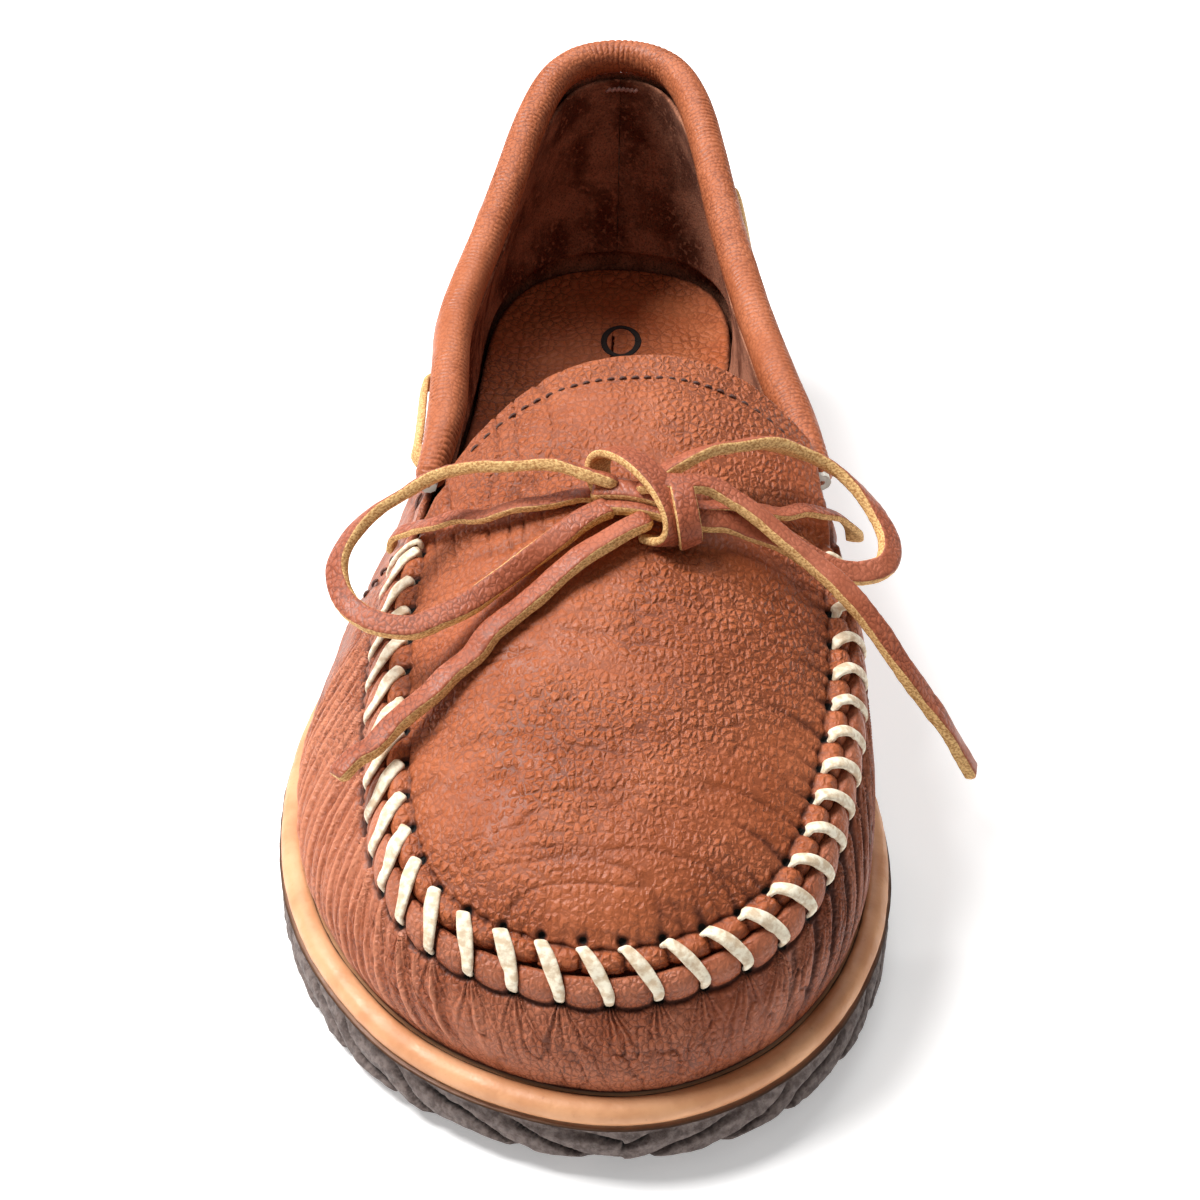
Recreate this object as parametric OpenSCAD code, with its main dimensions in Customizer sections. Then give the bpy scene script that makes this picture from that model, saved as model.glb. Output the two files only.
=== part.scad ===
// Moccasin for the right foot, on a lugged rubber sole.
// +Z is up, the toe points to -Y, the heel to +Y and the inner (medial) side to +X.
// The origin is on the floor, on the line through the middle of the heel.

/* [Sole] */
// Thickness of the rubber outsole
outsole_h = 11; // [8:0.5:13]
// Thickness of the tan midsole, whose edge shows as a band
midsole_h = 4; // [3:0.5:5]
// How far the upper stands in from the edge of the sole
welt_w = 5; // [4:0.5:6]
// Depth of the tread grooves
tread_depth = 3.5; // [2:0.5:4]
// How far the tip of the toe stands off the floor
toe_spring = 3.5; // [1:0.5:5]

/* [Leather] */
// Thickness of the upper leather
leather_t = 1.8; // [1.4:0.1:2]
// Thickness of the suede lining
lining_t = 1; // [0.8:0.1:1.2]
// How far the plug's edge stands in from the wall's edge
seam_gap = 2.4; // [2.2:0.1:3]

/* [Collar] */
// Radius of the rolled collar binding
collar_r = 4; // [3.5:0.25:4.5]

/* [Stitches and lace] */
// Number of whip stitches along the toe seam
whip_count = 31; // [20:1:36]
// Width of the flat lace
lace_w = 4.4; // [3.5:0.1:5]
// Thickness of the flat lace
lace_t = 2.4; // [1.8:0.1:2.6]

/* [Hidden] */

sole_h = outsole_h + midsole_h;

// Stations round the shoe, from the middle of the heel, down the inner side, round the toe
// and back up the outer side. Each is the sole's edge [x, y] and the upper's top edge
// [x, y, z], which is the toe seam in front and the middle of the collar roll behind.
STATIONS = [
  [[0, 148], [1, 141, 80]],
  [[19, 143.5], [12.5, 135, 79.5]],
  [[32, 130], [18.5, 121, 77]],
  [[37, 108], [22, 104, 73]],
  [[36, 82], [25, 83, 68.5]],
  [[34, 56], [29, 57, 64.5]],
  [[35, 30], [33.5, 31, 62]],
  [[40, 4], [38, 6, 61]],
  [[46, -22], [43, -18, 59.5]],
  [[52, -48], [47, -46, 53]],
  [[56, -76], [47.5, -72, 47]],
  [[52.5, -104], [43.5, -98, 42]],
  [[42, -127], [35.5, -121, 38]],
  [[26, -142], [20, -132.5, 35.5]],
  [[7, -148], [4, -136.5, 34.5]],
  [[-12, -144.5], [-11, -133.5, 35]],
  [[-30, -134.5], [-25, -126, 36.5]],
  [[-45, -117], [-33.5, -110.5, 39.5]],
  [[-56, -93], [-36.5, -88, 43.5]],
  [[-60, -65], [-38, -66, 48]],
  [[-58, -38], [-37.5, -44, 52.5]],
  [[-52.5, -12], [-33.5, -19, 58]],
  [[-46, 14], [-31.5, 6, 61]],
  [[-42.5, 40], [-33, 33, 62]],
  [[-40, 66], [-29.5, 58, 64.5]],
  [[-39, 90], [-25, 83, 68.5]],
  [[-37, 112], [-21.5, 104, 73]],
  [[-30, 132], [-17.5, 121, 77]],
  [[-17, 144], [-11.5, 135, 79.5]]
];
// How far the wall swells outwards, low down and near its top, at every fourth station
SWELL = [[3, 9], [4, 8], [4, 5], [3, 5], [3, 5], [5, 8], [3, 5], [4, 8]];
count = len(STATIONS);

// Places along the stations: the ends of the seam, of the collar and of the side seams
seam_medial = 8.9;
seam_lateral = 20.15;
collar_medial = 8.1;
collar_lateral = 20.9;
toe_u = 14;
side_medial = 8.68;
side_lateral = 20.32;
// Half the gap where two leathers meet, along the stations
half_cut = 0.02;

// The tongue turns about a line across the shoe, just over the plug, at this y
hinge_y = -31;
cut_gap = 0.5;

// ---- curves ----
function unit(v) = v / max(norm(v), 1e-9);
function mix(a, b, t) = a + (b - a) * t;
function clamp01(t) = min(1, max(0, t));
function ease(t) = let (s = clamp01(t)) s * s * (3 - 2 * s);

// Moves the points of a closed list outwards, so that the smooth curve passes near them
function lifted(q) =
  let (n = len(q)) [for (i = [0 : n - 1]) q[i] - (q[(i + n - 1) % n] - 2 * q[i] + q[(i + 1) % n]) / 6];

// Closed smooth curve at place t, where whole numbers are the points
function round_curve(p, t) =
  let (n = len(p), i = floor(t), f = t - i, g = 1 - f)
  (g * g * g * p[(i + 2 * n - 1) % n] + (3 * f * f * f - 6 * f * f + 4) * p[(i + 2 * n) % n]
    + (-3 * f * f * f + 3 * f * f + 3 * f + 1) * p[(i + 2 * n + 1) % n]
    + f * f * f * p[(i + 2 * n + 2) % n]) / 6;

// Open smooth curve through the points of a list, t from 0 to 1
function through(p, t) =
  let (n = len(p) - 1, s = clamp01(t) * n, i = min(floor(s), n - 1), f = s - i,
       b = p[i], c = p[i + 1],
       a = i > 0 ? p[i - 1] : 2 * b - c,
       d = i < n - 1 ? p[i + 2] : 2 * c - b)
  b + 0.5 * f * (c - a + f * (2 * a - 5 * b + 4 * c - d + f * (3 * (b - c) + d - a)));

SOLE_EDGE = lifted([for (s = STATIONS) s[0]]);
TOP_EDGE = lifted([for (s = STATIONS) s[1]]);

function sole_edge(u) = round_curve(SOLE_EDGE, u);
function top_edge(u) = round_curve(TOP_EDGE, u);
function out_dir(u) =
  let (d = sole_edge(u + 0.05) - sole_edge(u - 0.05)) unit([-d[1], d[0], 0]);
function inset(u, d) = let (e = sole_edge(u), n = out_dir(u)) [e[0] - n[0] * d, e[1] - n[1] * d];
function swell(u) = round_curve(SWELL, u * len(SWELL) / count);

// The upper's outer surface: u round the shoe, v from the sole to the top edge
function wall(u, v) =
  let (f = inset(u, welt_w), a = [f[0], f[1], sole_h + 0.1], d = top_edge(u), n = out_dir(u),
       s = swell(u), h = 0.38 * (d[2] - a[2]),
       b = a + n * s[0] + [0, 0, h], c = d + n * s[1] - [0, 0, h], w = 1 - v)
  w * w * w * a + 3 * w * w * v * b + 3 * w * v * v * c + v * v * v * d;
function wall_normal(u, v) =
  unit(cross(wall(u, min(v + 0.02, 1)) - wall(u, max(v - 0.02, 0)), wall(u + 0.03, v) - wall(u - 0.03, v)));
// The same surface moved inwards by d
function wall_in(u, v, d) = wall(u, v) - d * wall_normal(u, v);

// ---- plug and tongue ----
// Edge of the plug on one side, s = -1 outer or 1 inner, from the toe at t = 0 to the seam's end
function seam_u(s, t) = s > 0 ? toe_u + (seam_medial - toe_u) * t : toe_u + (seam_lateral - toe_u) * t;
function seam_edge(s, t) = let (u = seam_u(s, t)) top_edge(u) - out_dir(u) * seam_gap + [0, 0, 0.8];
// Edges of the tongue, past the seam's ends
TONGUE_MEDIAL = [seam_edge(1, 0.8), seam_edge(1, 1), [43.5, -31, 60.5], [41, -15, 65]];
TONGUE_LATERAL = [seam_edge(-1, 0.8), seam_edge(-1, 1), [-32.5, -33, 59], [-28, -22, 63.5]];
seam_t = 0.75;
function plug_edge(s, t) =
  t < seam_t ? seam_edge(s, t / seam_t)
  : through(s > 0 ? TONGUE_MEDIAL : TONGUE_LATERAL, (1 + 2 * (t - seam_t) / (1 - seam_t)) / 3);
// Height of the crown over the straight line between the two edges
CROWN = [0, 4, 7.4, 10.4, 13, 15.2, 16.6, 17, 16.4, 15, 13.2];
// How far the tongue's end bows backwards
tongue_bow = 14;
// The plug's top surface: s from -1 to 1 across, t from 0 at the toe to 1 at the tongue's end
function plug_top(s, t) =
  let (a = plug_edge(-1, t), b = plug_edge(1, t), e = pow(abs(s), 2.3), k = ease((t - 0.62) / 0.38))
  mix(a, b, (s + 1) / 2) + [0, tongue_bow * k * (1 - pow(abs(s), 2.6)), through(CROWN, t) * (1 - e)];
function plug_normal(s, t) =
  let (p = min(s, 0.94), q = max(p, -0.94), r = max(t, 0.04))
  unit(cross(plug_top(q + 0.03, r) - plug_top(q - 0.03, r),
             plug_top(q, min(r + 0.02, 1)) - plug_top(q, r - 0.02)));
function plug_in(s, t, d) = plug_top(s, t) - d * plug_normal(s, t);
// Where the row of the plug at place s crosses the plane y
function t_at_y(s, y, lo = 0.3, hi = 1, n = 14) =
  n == 0 ? (lo + hi) / 2
  : let (m = (lo + hi) / 2) plug_top(s, m)[1] < y ? t_at_y(s, y, m, hi, n - 1) : t_at_y(s, y, lo, m, n - 1);

// ---- solids ----
function flat(lists) = [for (l = lists) for (p = l) p];

// Closed shell between two grids of the same size, each a list of rows
module shell(outer, inner) {
  rows = len(outer);
  cols = len(outer[0]);
  size = rows * cols;
  edge = concat(
    [for (j = [0 : cols - 1]) j],
    [for (i = [1 : rows - 1]) i * cols + cols - 1],
    [for (j = [cols - 2 : -1 : 0]) (rows - 1) * cols + j],
    [for (i = [rows - 2 : -1 : 1]) i * cols]);
  faces = concat(
    flat([for (i = [0 : rows - 2]) for (j = [0 : cols - 2])
      let (a = i * cols + j, b = a + 1, c = a + cols + 1, d = a + cols)
      [[a, b, c], [a, c, d], [size + a, size + c, size + b], [size + a, size + d, size + c]]]),
    flat([for (k = [0 : len(edge) - 1])
      let (a = edge[k], b = edge[(k + 1) % len(edge)]) [[b, a, size + a], [b, size + a, size + b]]]));
  polyhedron(points = concat(flat(outer), flat(inner)), faces = faces);
}

// Points and faces of a solid swept through rings that all have the same number of points
function swept(rings) =
  let (n = len(rings), m = len(rings[0]))
  [flat(rings),
   concat(
     flat([for (i = [0 : n - 2]) for (j = [0 : m - 1])
       let (a = i * m + j, b = i * m + (j + 1) % m) [[a, b, b + m], [a, b + m, a + m]]]),
     [for (j = [1 : m - 2]) [0, j + 1, j]],
     [for (j = [1 : m - 2]) [(n - 1) * m, (n - 1) * m + j, (n - 1) * m + j + 1]])];
function shifted(faces, by) = [for (f = faces) [for (k = f) k + by]];
// Draws a list of separate swept solids of equal size as one group
module group(solids) {
  step = len(solids[0][0]);
  polyhedron(
    points = flat([for (s = solids) s[0]]),
    faces = flat([for (i = [0 : len(solids) - 1]) shifted(solids[i][1], i * step)]));
}

// Section of a flat strip of width w and thickness t at p: side is across it, up is out of its face
function strip_ring(p, side, up, w, t) =
  [for (c = [[0.5, 0.22], [0.32, 0.5], [-0.32, 0.5], [-0.5, 0.22],
             [-0.5, -0.22], [-0.32, -0.5], [0.32, -0.5], [0.5, -0.22]])
    p + side * c[0] * w + up * c[1] * t];
// A flat strip along places, with its face turned to the side that ups gives at each place
function strip(places, ups, w, t) =
  let (n = len(places))
  swept([for (i = [0 : n - 1])
    let (d = unit(places[min(i + 1, n - 1)] - places[max(i - 1, 0)]),
         side = unit(cross(d, ups[i])), up = cross(side, d))
    strip_ring(places[i], side, up, w, t)]);
function turned(v, a) = [v[0] * cos(a) - v[1] * sin(a), v[0] * sin(a) + v[1] * cos(a)];

// ---- sole ----
outline_steps = 116;
function outline(d) = [for (i = [0 : outline_steps - 1]) inset(i * count / outline_steps, d)];

module tread_grooves() {
  for (y = [-150 : 14 : 160]) {
    for (side = [-1, 1]) {
      translate([0, y, -1])
        linear_extrude(height = tread_depth + 1)
          polygon([[side * 4, -9], [side * 80, 22], [side * 80, 26.5], [side * 4, -4.5]]);
    }
  }
}
// Everything under the bottom of the toe, which curves up from the ball of the foot
ball_y = -92;
toe_y = -148;
module under_toe() {
  run = ball_y - toe_y;
  roll_r = (run * run / toe_spring + toe_spring) / 2;
  difference() {
    translate([-80, toe_y - 10, -1]) cube([160, run + 10, toe_spring + 2]);
    translate([-90, ball_y, roll_r]) rotate([0, 90, 0]) cylinder(r = roll_r, h = 180, $fn = 360);
  }
}
module outsole() {
  color([0.27, 0.24, 0.23])
    difference() {
      linear_extrude(height = outsole_h) polygon(outline(0));
      tread_grooves();
      under_toe();
    }
}
module midsole() {
  color([0.78, 0.56, 0.36]) {
    translate([0, 0, outsole_h])
      linear_extrude(height = midsole_h) polygon(outline(0.8));
  }
}

board_h = 1.8;
foam_h = 3;
sock_h = 1.2;
gap = 0.2;
inner_edge = welt_w + 2.4;
module insole_board() {
  color([0.72, 0.6, 0.45])
    translate([0, 0, sole_h + gap])
      linear_extrude(height = board_h) polygon(outline(inner_edge));
}
module footbed_foam() {
  color([0.85, 0.83, 0.78])
    translate([0, 0, sole_h + board_h + 2 * gap])
      linear_extrude(height = foam_h) polygon(outline(inner_edge + 0.6));
}
sock_z = sole_h + board_h + foam_h + 3 * gap;
module sock_lining() {
  color([0.5, 0.26, 0.18])
    translate([0, 0, sock_z])
      linear_extrude(height = sock_h) polygon(outline(inner_edge + 1));
}
// A plain oval ring, printed on the sock
mark_at = [2, 103];
mark_r = [5, 8];
mark_line = 1.6;
function oval(r) = [for (i = [0 : 35]) [r[0] * cos(10 * i), r[1] * sin(10 * i)]];
module sock_mark() {
  color([0.12, 0.09, 0.08])
    translate([mark_at[0], mark_at[1], sock_z + sock_h + 0.02])
      linear_extrude(height = 0.3)
        difference() {
          polygon(oval(mark_r));
          polygon(oval(mark_r - [mark_line, mark_line]));
        }
}

// ---- upper ----
wall_rows = 7;
// Grid of the wall between two places and two heights, moved inwards by d
function wall_grid(u0, u1, n, v0, v1, d) =
  [for (i = [0 : wall_rows]) [for (j = [0 : n])
    wall_in(u0 + (u1 - u0) * j / n, v0 + (v1 - v0) * i / wall_rows, d)]];
module wall_shell(u0, u1, n, v0, v1, d, t) {
  shell(wall_grid(u0, u1, n, v0, v1, d + t), wall_grid(u0, u1, n, v0, v1, d));
}
vamp_top = 0.99;
module vamp_wall() {
  color([0.56, 0.3, 0.22])
    wall_shell(side_medial + half_cut, side_lateral - half_cut, 46, 0, vamp_top, 0, leather_t);
}
quarter_top = 0.93;
module quarter_medial() {
  color([0.54, 0.28, 0.2])
    wall_shell(half_cut, side_medial - half_cut, 34, 0, quarter_top, 0, leather_t);
}
module quarter_lateral() {
  color([0.54, 0.28, 0.2])
    wall_shell(side_lateral + half_cut, count - half_cut, 34, 0, quarter_top, 0, leather_t);
}
// The strip over the heel seam: half its width along the stations, its ends in height,
// how far it stands out, and its thickness
strip_half = 0.42;
strip_v = [0.02, 0.84];
strip_out = 1.7;
strip_t = 1.4;
module heel_strip() {
  color([0.5, 0.26, 0.18])
    wall_shell(-strip_half, strip_half, 6, strip_v[0], strip_v[1], -strip_out, strip_t);
}
counter_half = 4.2;
counter_v = [0.2, 0.62];
counter_t = 1.2;
module heel_counter() {
  color([0.75, 0.7, 0.6])
    wall_shell(-counter_half, counter_half, 34, counter_v[0], counter_v[1], leather_t + 0.1, counter_t);
}
lining_at = leather_t + 1.5;
lining_v = [0.17, 0.94];
lining_short = 0.28;
module lining_medial() {
  color([0.3, 0.18, 0.13])
    wall_shell(half_cut, side_medial - lining_short, 32, lining_v[0], lining_v[1], lining_at, lining_t);
}
module lining_lateral() {
  color([0.3, 0.18, 0.13])
    wall_shell(side_lateral + lining_short, count - half_cut, 32,
               lining_v[0], lining_v[1], lining_at, lining_t);
}

// ---- small stitches ----
// One short thread on a surface, from place a to place b, standing out along up
function thread(a, b, up, w, t) =
  let (d = unit(b - a), side = cross(d, up),
       places = [a - up * t, a + d * t + up * t * 0.4, b - d * t + up * t * 0.4, b - up * t])
  swept([for (p = places) [p + side * w / 2, p + up * t / 2, p - side * w / 2, p - up * t / 2]]);
function wall_thread(u0, v0, u1, v1, d) =
  thread(wall_in(u0, v0, d), wall_in(u1, v1, d), wall_normal(u0, v0), 0.8, 0.6);

side_stitch_count = 9;
side_stitch_in = 0.16;
module side_seam_stitches() {
  color([0.45, 0.24, 0.18])
    group([for (u = [side_medial - side_stitch_in, side_lateral + side_stitch_in])
      for (i = [0 : side_stitch_count - 1])
      let (v = 0.08 + 0.76 * i / side_stitch_count) wall_thread(u, v, u, v + 0.05, 0)]);
}
strip_stitch_count = 11;
strip_stitch_u = 0.34;
module heel_strip_stitches() {
  color([0.45, 0.24, 0.18])
    group([for (u = [count - strip_stitch_u, count + strip_stitch_u])
      for (i = [0 : strip_stitch_count - 1])
      let (v = 0.06 + 0.74 * i / strip_stitch_count) wall_thread(u, v, u, v + 0.045, -strip_out)]);
}
collar_stitch_count = 52;
collar_stitch_v = 0.84;
module collar_stitches() {
  // From the front end of the roll on the outer side, round the heel, to that on the inner side
  span = count + collar_medial - collar_lateral;
  color([0.42, 0.22, 0.16])
    group([for (i = [0 : collar_stitch_count - 1])
      let (u = collar_lateral + span * (i + 0.2) / collar_stitch_count,
           d = abs(u - count) < strip_half + 0.08 ? -strip_out : 0)
      wall_thread(u, collar_stitch_v, u + 0.6 * span / collar_stitch_count, collar_stitch_v, d)]);
}
// Height of the row of thread inside the heel, under the roll
bartack_v = 0.9;
module heel_bartack() {
  color([0.85, 0.66, 0.62])
    group([for (i = [-3 : 3])
      let (u = count + i * 0.11)
      thread(wall_in(u, bartack_v, lining_at + lining_t),
             wall_in(u + 0.1, bartack_v + 0.015, lining_at + lining_t),
             -wall_normal(u, bartack_v), 0.8, 0.6)]);
}

// ---- collar ----
collar_steps = 54;
collar_sides = 10;
function collar_u(i) = collar_lateral + (count + collar_medial - collar_lateral) * i / collar_steps;
// Ring of the roll, which gets thinner at its two front ends
function collar_ring(i, r) =
  let (u = collar_u(i), d = unit(top_edge(u + 0.05) - top_edge(u - 0.05)),
       side = unit(cross(d, [0, 0, 1])), up = cross(side, d),
       taper = 0.75 + 0.25 * ease(min(i, collar_steps - i) / 5))
  [for (k = [0 : collar_sides - 1])
    let (a = 360 * k / collar_sides) top_edge(u) + taper * r * (side * cos(a) + up * sin(a))];
binding_t = 1.2;
module collar_binding() {
  rings = [for (i = [0 : collar_steps]) collar_ring(i, collar_r)];
  inner = [for (i = [0 : collar_steps]) collar_ring(i, collar_r - binding_t)];
  m = collar_sides;
  n = collar_steps;
  size = (n + 1) * m;
  faces = concat(
    flat([for (i = [0 : n - 1]) for (j = [0 : m - 1])
      let (a = i * m + j, b = i * m + (j + 1) % m, c = b + m, d = a + m)
      [[a, b, c], [a, c, d], [size + a, size + c, size + b], [size + a, size + d, size + c]]]),
    flat([for (j = [0 : m - 1])
      let (a = j, b = (j + 1) % m, e = n * m)
      [[b, a, size + a], [b, size + a, size + b],
       [e + a, e + b, size + e + b], [e + a, size + e + b, size + e + a]]]));
  color([0.6, 0.32, 0.24]) polyhedron(points = concat(flat(rings), flat(inner)), faces = faces);
}
module collar_foam() {
  color([0.85, 0.83, 0.78])
    group([swept([for (i = [0 : collar_steps]) collar_ring(i, collar_r - binding_t - 0.1)])]);
}

// ---- plug and tongue solids ----
plug_cols = 16;
plug_rows = 18;
function across(j) = -1 + 2 * j / plug_cols;
// Rows from the toe up to the hinge line, which is straight across the shoe
function plug_grid(d) =
  [for (i = [0 : plug_rows]) [for (j = [0 : plug_cols])
    let (s = across(j), t = 0.012 + (t_at_y(s, hinge_y - cut_gap) - 0.012) * i / plug_rows) plug_in(s, t, d)]];
tongue_rows = 6;
function tongue_grid(d, last) =
  [for (i = [0 : tongue_rows]) [for (j = [0 : plug_cols])
    let (s = across(j) * last, t0 = t_at_y(s, hinge_y))
    plug_in(s, t0 + (last - t0) * i / tongue_rows, d)]];
module plug() {
  color([0.58, 0.31, 0.23]) shell(plug_grid(0), plug_grid(leather_t));
}
module tongue() {
  color([0.58, 0.31, 0.23]) shell(tongue_grid(0, 1), tongue_grid(leather_t, 1));
}
module tongue_lining() {
  color([0.33, 0.2, 0.15])
    shell(tongue_grid(leather_t + 0.1, 0.97), tongue_grid(leather_t + 0.1 + lining_t, 0.97));
}
tongue_stitch_count = 26;
tongue_stitch_s = 0.86;
tongue_stitch_at = 0.945;
module tongue_stitches() {
  color([0.3, 0.16, 0.12])
    group([for (i = [0 : tongue_stitch_count - 1])
      let (s = tongue_stitch_s * (2 * i / tongue_stitch_count - 1), e = s + 1 / tongue_stitch_count)
      thread(plug_top(s, tongue_stitch_at), plug_top(e, tongue_stitch_at),
             plug_normal(s, tongue_stitch_at), 0.7, 0.5)]);
}

// ---- whip stitches ----
whip_w = 3.2;
whip_t = 1.1;
// Each stitch leans along the seam by this share of the distance between two stitches, each way
whip_lean = 0.3;
// How far behind the plug's edge its hole is, and how high the stitch stands over the edges
whip_hole = 1.6;
whip_rise = 3;
// Lengths along the seam from its outer end, with the place on the stations for each
seam_samples = 90;
function seam_sample(i) = mix(seam_lateral, seam_medial, i / seam_samples);
SEAM_LENGTHS = [for (i = 0, s = 0; i <= seam_samples;
  s = s + norm(top_edge(seam_sample(i + 1)) - top_edge(seam_sample(i))), i = i + 1) [s, seam_sample(i)]];
seam_length = SEAM_LENGTHS[seam_samples][0];
// Place on the stations at a share of the seam's length
function seam_place(t) = lookup(t * seam_length, SEAM_LENGTHS);
// One slanted stitch over the two edges of the toe seam
function whip(i) =
  let (u = seam_place((i + 0.5) / whip_count), n = out_dir(u),
       a = seam_place((i + 0.5 - whip_lean) / whip_count),
       b = seam_place((i + 0.5 + whip_lean) / whip_count),
       p0 = top_edge(a) - out_dir(a) * (seam_gap + whip_hole) + [0, 0, 1.4],
       p1 = top_edge(a) - out_dir(a) * (seam_gap + 0.6) + [0, 0, whip_rise],
       p2 = top_edge(u) - n * 0.4 + [0, 0, whip_rise],
       p3 = wall(b, 0.9) + 0.8 * wall_normal(b, 0.9),
       p4 = wall(b, 0.8) + 0.2 * wall_normal(b, 0.8))
  strip([p0, p1, p2, p3, p4], [n * -0.4 + [0, 0, 1], [0, 0, 1], n * 0.6 + [0, 0, 1], n * 2 + [0, 0, 1],
        n * 3 + [0, 0, 1]], whip_w, whip_t);
module whip_stitches() {
  color([0.9, 0.84, 0.74]) group([for (i = [0 : whip_count - 1]) whip(i)]);
}

// ---- lace ----
// The lace runs along both sides under the roll, through slits: outside where depth is
// negative and between leather and lining where it is positive
lace_v = 0.76;
run_out = -2.6;
run_in = 2.5;
// Places along the stations between which the lace is outside, and how far it takes to go through
OUTSIDE = [[2.8, 4], [5.7, 6.9], [21.7, 22.95]];
run_slope = 0.3;
function run_depth(u) =
  mix(run_in, run_out, max([for (s = OUTSIDE)
    ease((u - s[0]) / run_slope + 0.5) * ease((s[1] - u) / run_slope + 0.5)]));
run_steps = 60;
run_t = 1.3;
function run_places(u0, u1) =
  [for (k = [0 : run_steps])
    let (u = mix(u0, u1, k / run_steps)) wall_in(u, lace_v, run_depth(u))];
function run_ups(u0, u1) =
  [for (k = [0 : run_steps]) wall_normal(mix(u0, u1, k / run_steps), lace_v)];
run_medial = [8.2, 1.2];
run_lateral = [20.8, count - 1.2];
module lace_run(ends) {
  color([0.72, 0.47, 0.27])
    group([strip(run_places(ends[0], ends[1]), run_ups(ends[0], ends[1]), lace_w, run_t)]);
}
module lace_run_medial() {
  lace_run(run_medial);
}
module lace_run_lateral() {
  lace_run(run_lateral);
}

// Leads: from the slot in the wall, under the plug's edge, and up through the plug to the knot.
// All routes are in whole millimetres, in steps of about 4 to 7 mm.
LEAD_LATERAL = [[-40, -35, 51], [-39, -36, 55], [-35, -38, 58], [-31, -41, 61], [-26, -43, 64],
  [-21, -46, 66], [-15, -47, 69], [-9, -47, 70], [-3, -46, 71], [2, -46, 71], [5, -47, 72]];
LEAD_MEDIAL = [[50, -31, 52], [49, -33, 56], [46, -35, 60], [43, -37, 62], [39, -39, 64],
  [35, -42, 65], [30, -44, 67], [25, -46, 69], [20, -48, 70], [15, -49, 71], [12, -50, 71],
  [11, -50, 72]];
// Loops: out along the side nearer the heel, round the end, and back along the side nearer the toe.
// Tails: down over the plug and past the toe seam, falling faster as they go.
LOOP_LATERAL = [[4, -48, 75], [-1, -47, 76], [-8, -45, 77], [-16, -44, 76], [-23, -43, 75],
  [-30, -43, 73], [-36, -45, 70], [-41, -48, 68], [-45, -53, 66], [-47, -59, 64],
  [-46, -65, 62], [-43, -70, 61], [-38, -74, 61], [-32, -75, 61], [-27, -73, 62],
  [-22, -70, 63], [-17, -66, 65], [-12, -62, 67], [-7, -58, 69], [-2, -54, 71], [3, -51, 72]];
LOOP_MEDIAL = [[11, -46, 75], [15, -43, 76], [20, -40, 77], [26, -36, 76], [32, -33, 75],
  [38, -31, 72], [44, -31, 69], [49, -34, 66], [53, -39, 63], [55, -45, 61], [54, -51, 60],
  [50, -54, 60], [45, -55, 61], [40, -54, 63], [35, -53, 66], [30, -53, 68], [25, -53, 70],
  [20, -54, 71], [15, -54, 72]];
TAIL_LATERAL = [[10, -55, 72], [6, -57, 71], [2, -60, 70], [-2, -63, 69], [-6, -66, 67],
  [-10, -70, 65], [-14, -73, 63], [-18, -76, 61], [-21, -79, 58], [-25, -82, 56],
  [-28, -85, 54], [-32, -88, 52], [-35, -90, 50], [-38, -93, 48], [-41, -95, 47],
  [-44, -98, 45]];
TAIL_MEDIAL = [[8, -50, 76], [12, -51, 77], [16, -51, 77], [21, -50, 76], [26, -52, 74],
  [30, -54, 72], [35, -57, 69], [40, -60, 66], [44, -63, 64], [48, -66, 61], [52, -69, 57],
  [56, -72, 52], [60, -74, 47], [64, -76, 42], [67, -77, 37], [70, -78, 32]];

// Side that the lace's face turns to: outwards and up in the loops, straight up in the tails
loop_flatness = 1.3;
middle_lateral = [-22, -60, 68];
middle_medial = [38, -44, 68];
function loop_ups(p, middle) =
  [for (q = p) unit([q[0] - middle[0], q[1] - middle[1], loop_flatness * norm(q - middle)])];
function flat_ups(p) = [for (q = p) [0, 0, 1]];
module lace_strip(p, ups) {
  group([strip(p, ups, lace_w, lace_t)]);
}
// Under the plug the lace is squeezed: its width and thickness as shares of the free lace's
lead_size = [0.8, 0.6];
module lace_lead(p) {
  color([0.72, 0.47, 0.27])
    group([strip(p, flat_ups(p), lace_w * lead_size[0], lace_t * lead_size[1])]);
}
module lace_lead_lateral() {
  lace_lead(LEAD_LATERAL);
}
module lace_lead_medial() {
  lace_lead(LEAD_MEDIAL);
}
module lace_loop_lateral() {
  color([0.66, 0.4, 0.26]) lace_strip(LOOP_LATERAL, loop_ups(LOOP_LATERAL, middle_lateral));
}
module lace_loop_medial() {
  color([0.66, 0.4, 0.26]) lace_strip(LOOP_MEDIAL, loop_ups(LOOP_MEDIAL, middle_medial));
}
module lace_tail_lateral() {
  color([0.66, 0.4, 0.26]) lace_strip(TAIL_LATERAL, flat_ups(TAIL_LATERAL));
}
module lace_tail_medial() {
  color([0.66, 0.4, 0.26]) lace_strip(TAIL_MEDIAL, flat_ups(TAIL_MEDIAL));
}
// The knot: a short bundle, with a strap that wraps over it
knot_at = [8, -50.5, 73.2];
module lace_knot() {
  color([0.62, 0.35, 0.24])
    translate(knot_at)
      hull() {
        translate([-4, 1, 0]) sphere(r = 3.3, $fn = 20);
        translate([4, -1.5, -0.3]) sphere(r = 3.3, $fn = 20);
      }
}

outsole();
midsole();
insole_board();
footbed_foam();
sock_lining();
sock_mark();
vamp_wall();
quarter_medial();
quarter_lateral();
heel_strip();
heel_counter();
lining_medial();
lining_lateral();
side_seam_stitches();
heel_strip_stitches();
collar_binding();
collar_foam();
collar_stitches();
heel_bartack();
plug();
tongue();
tongue_lining();
tongue_stitches();
whip_stitches();
lace_run_medial();
lace_run_lateral();
lace_lead_medial();
lace_lead_lateral();
lace_knot();
lace_loop_medial();
lace_loop_lateral();
lace_tail_medial();
lace_tail_lateral();
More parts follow.
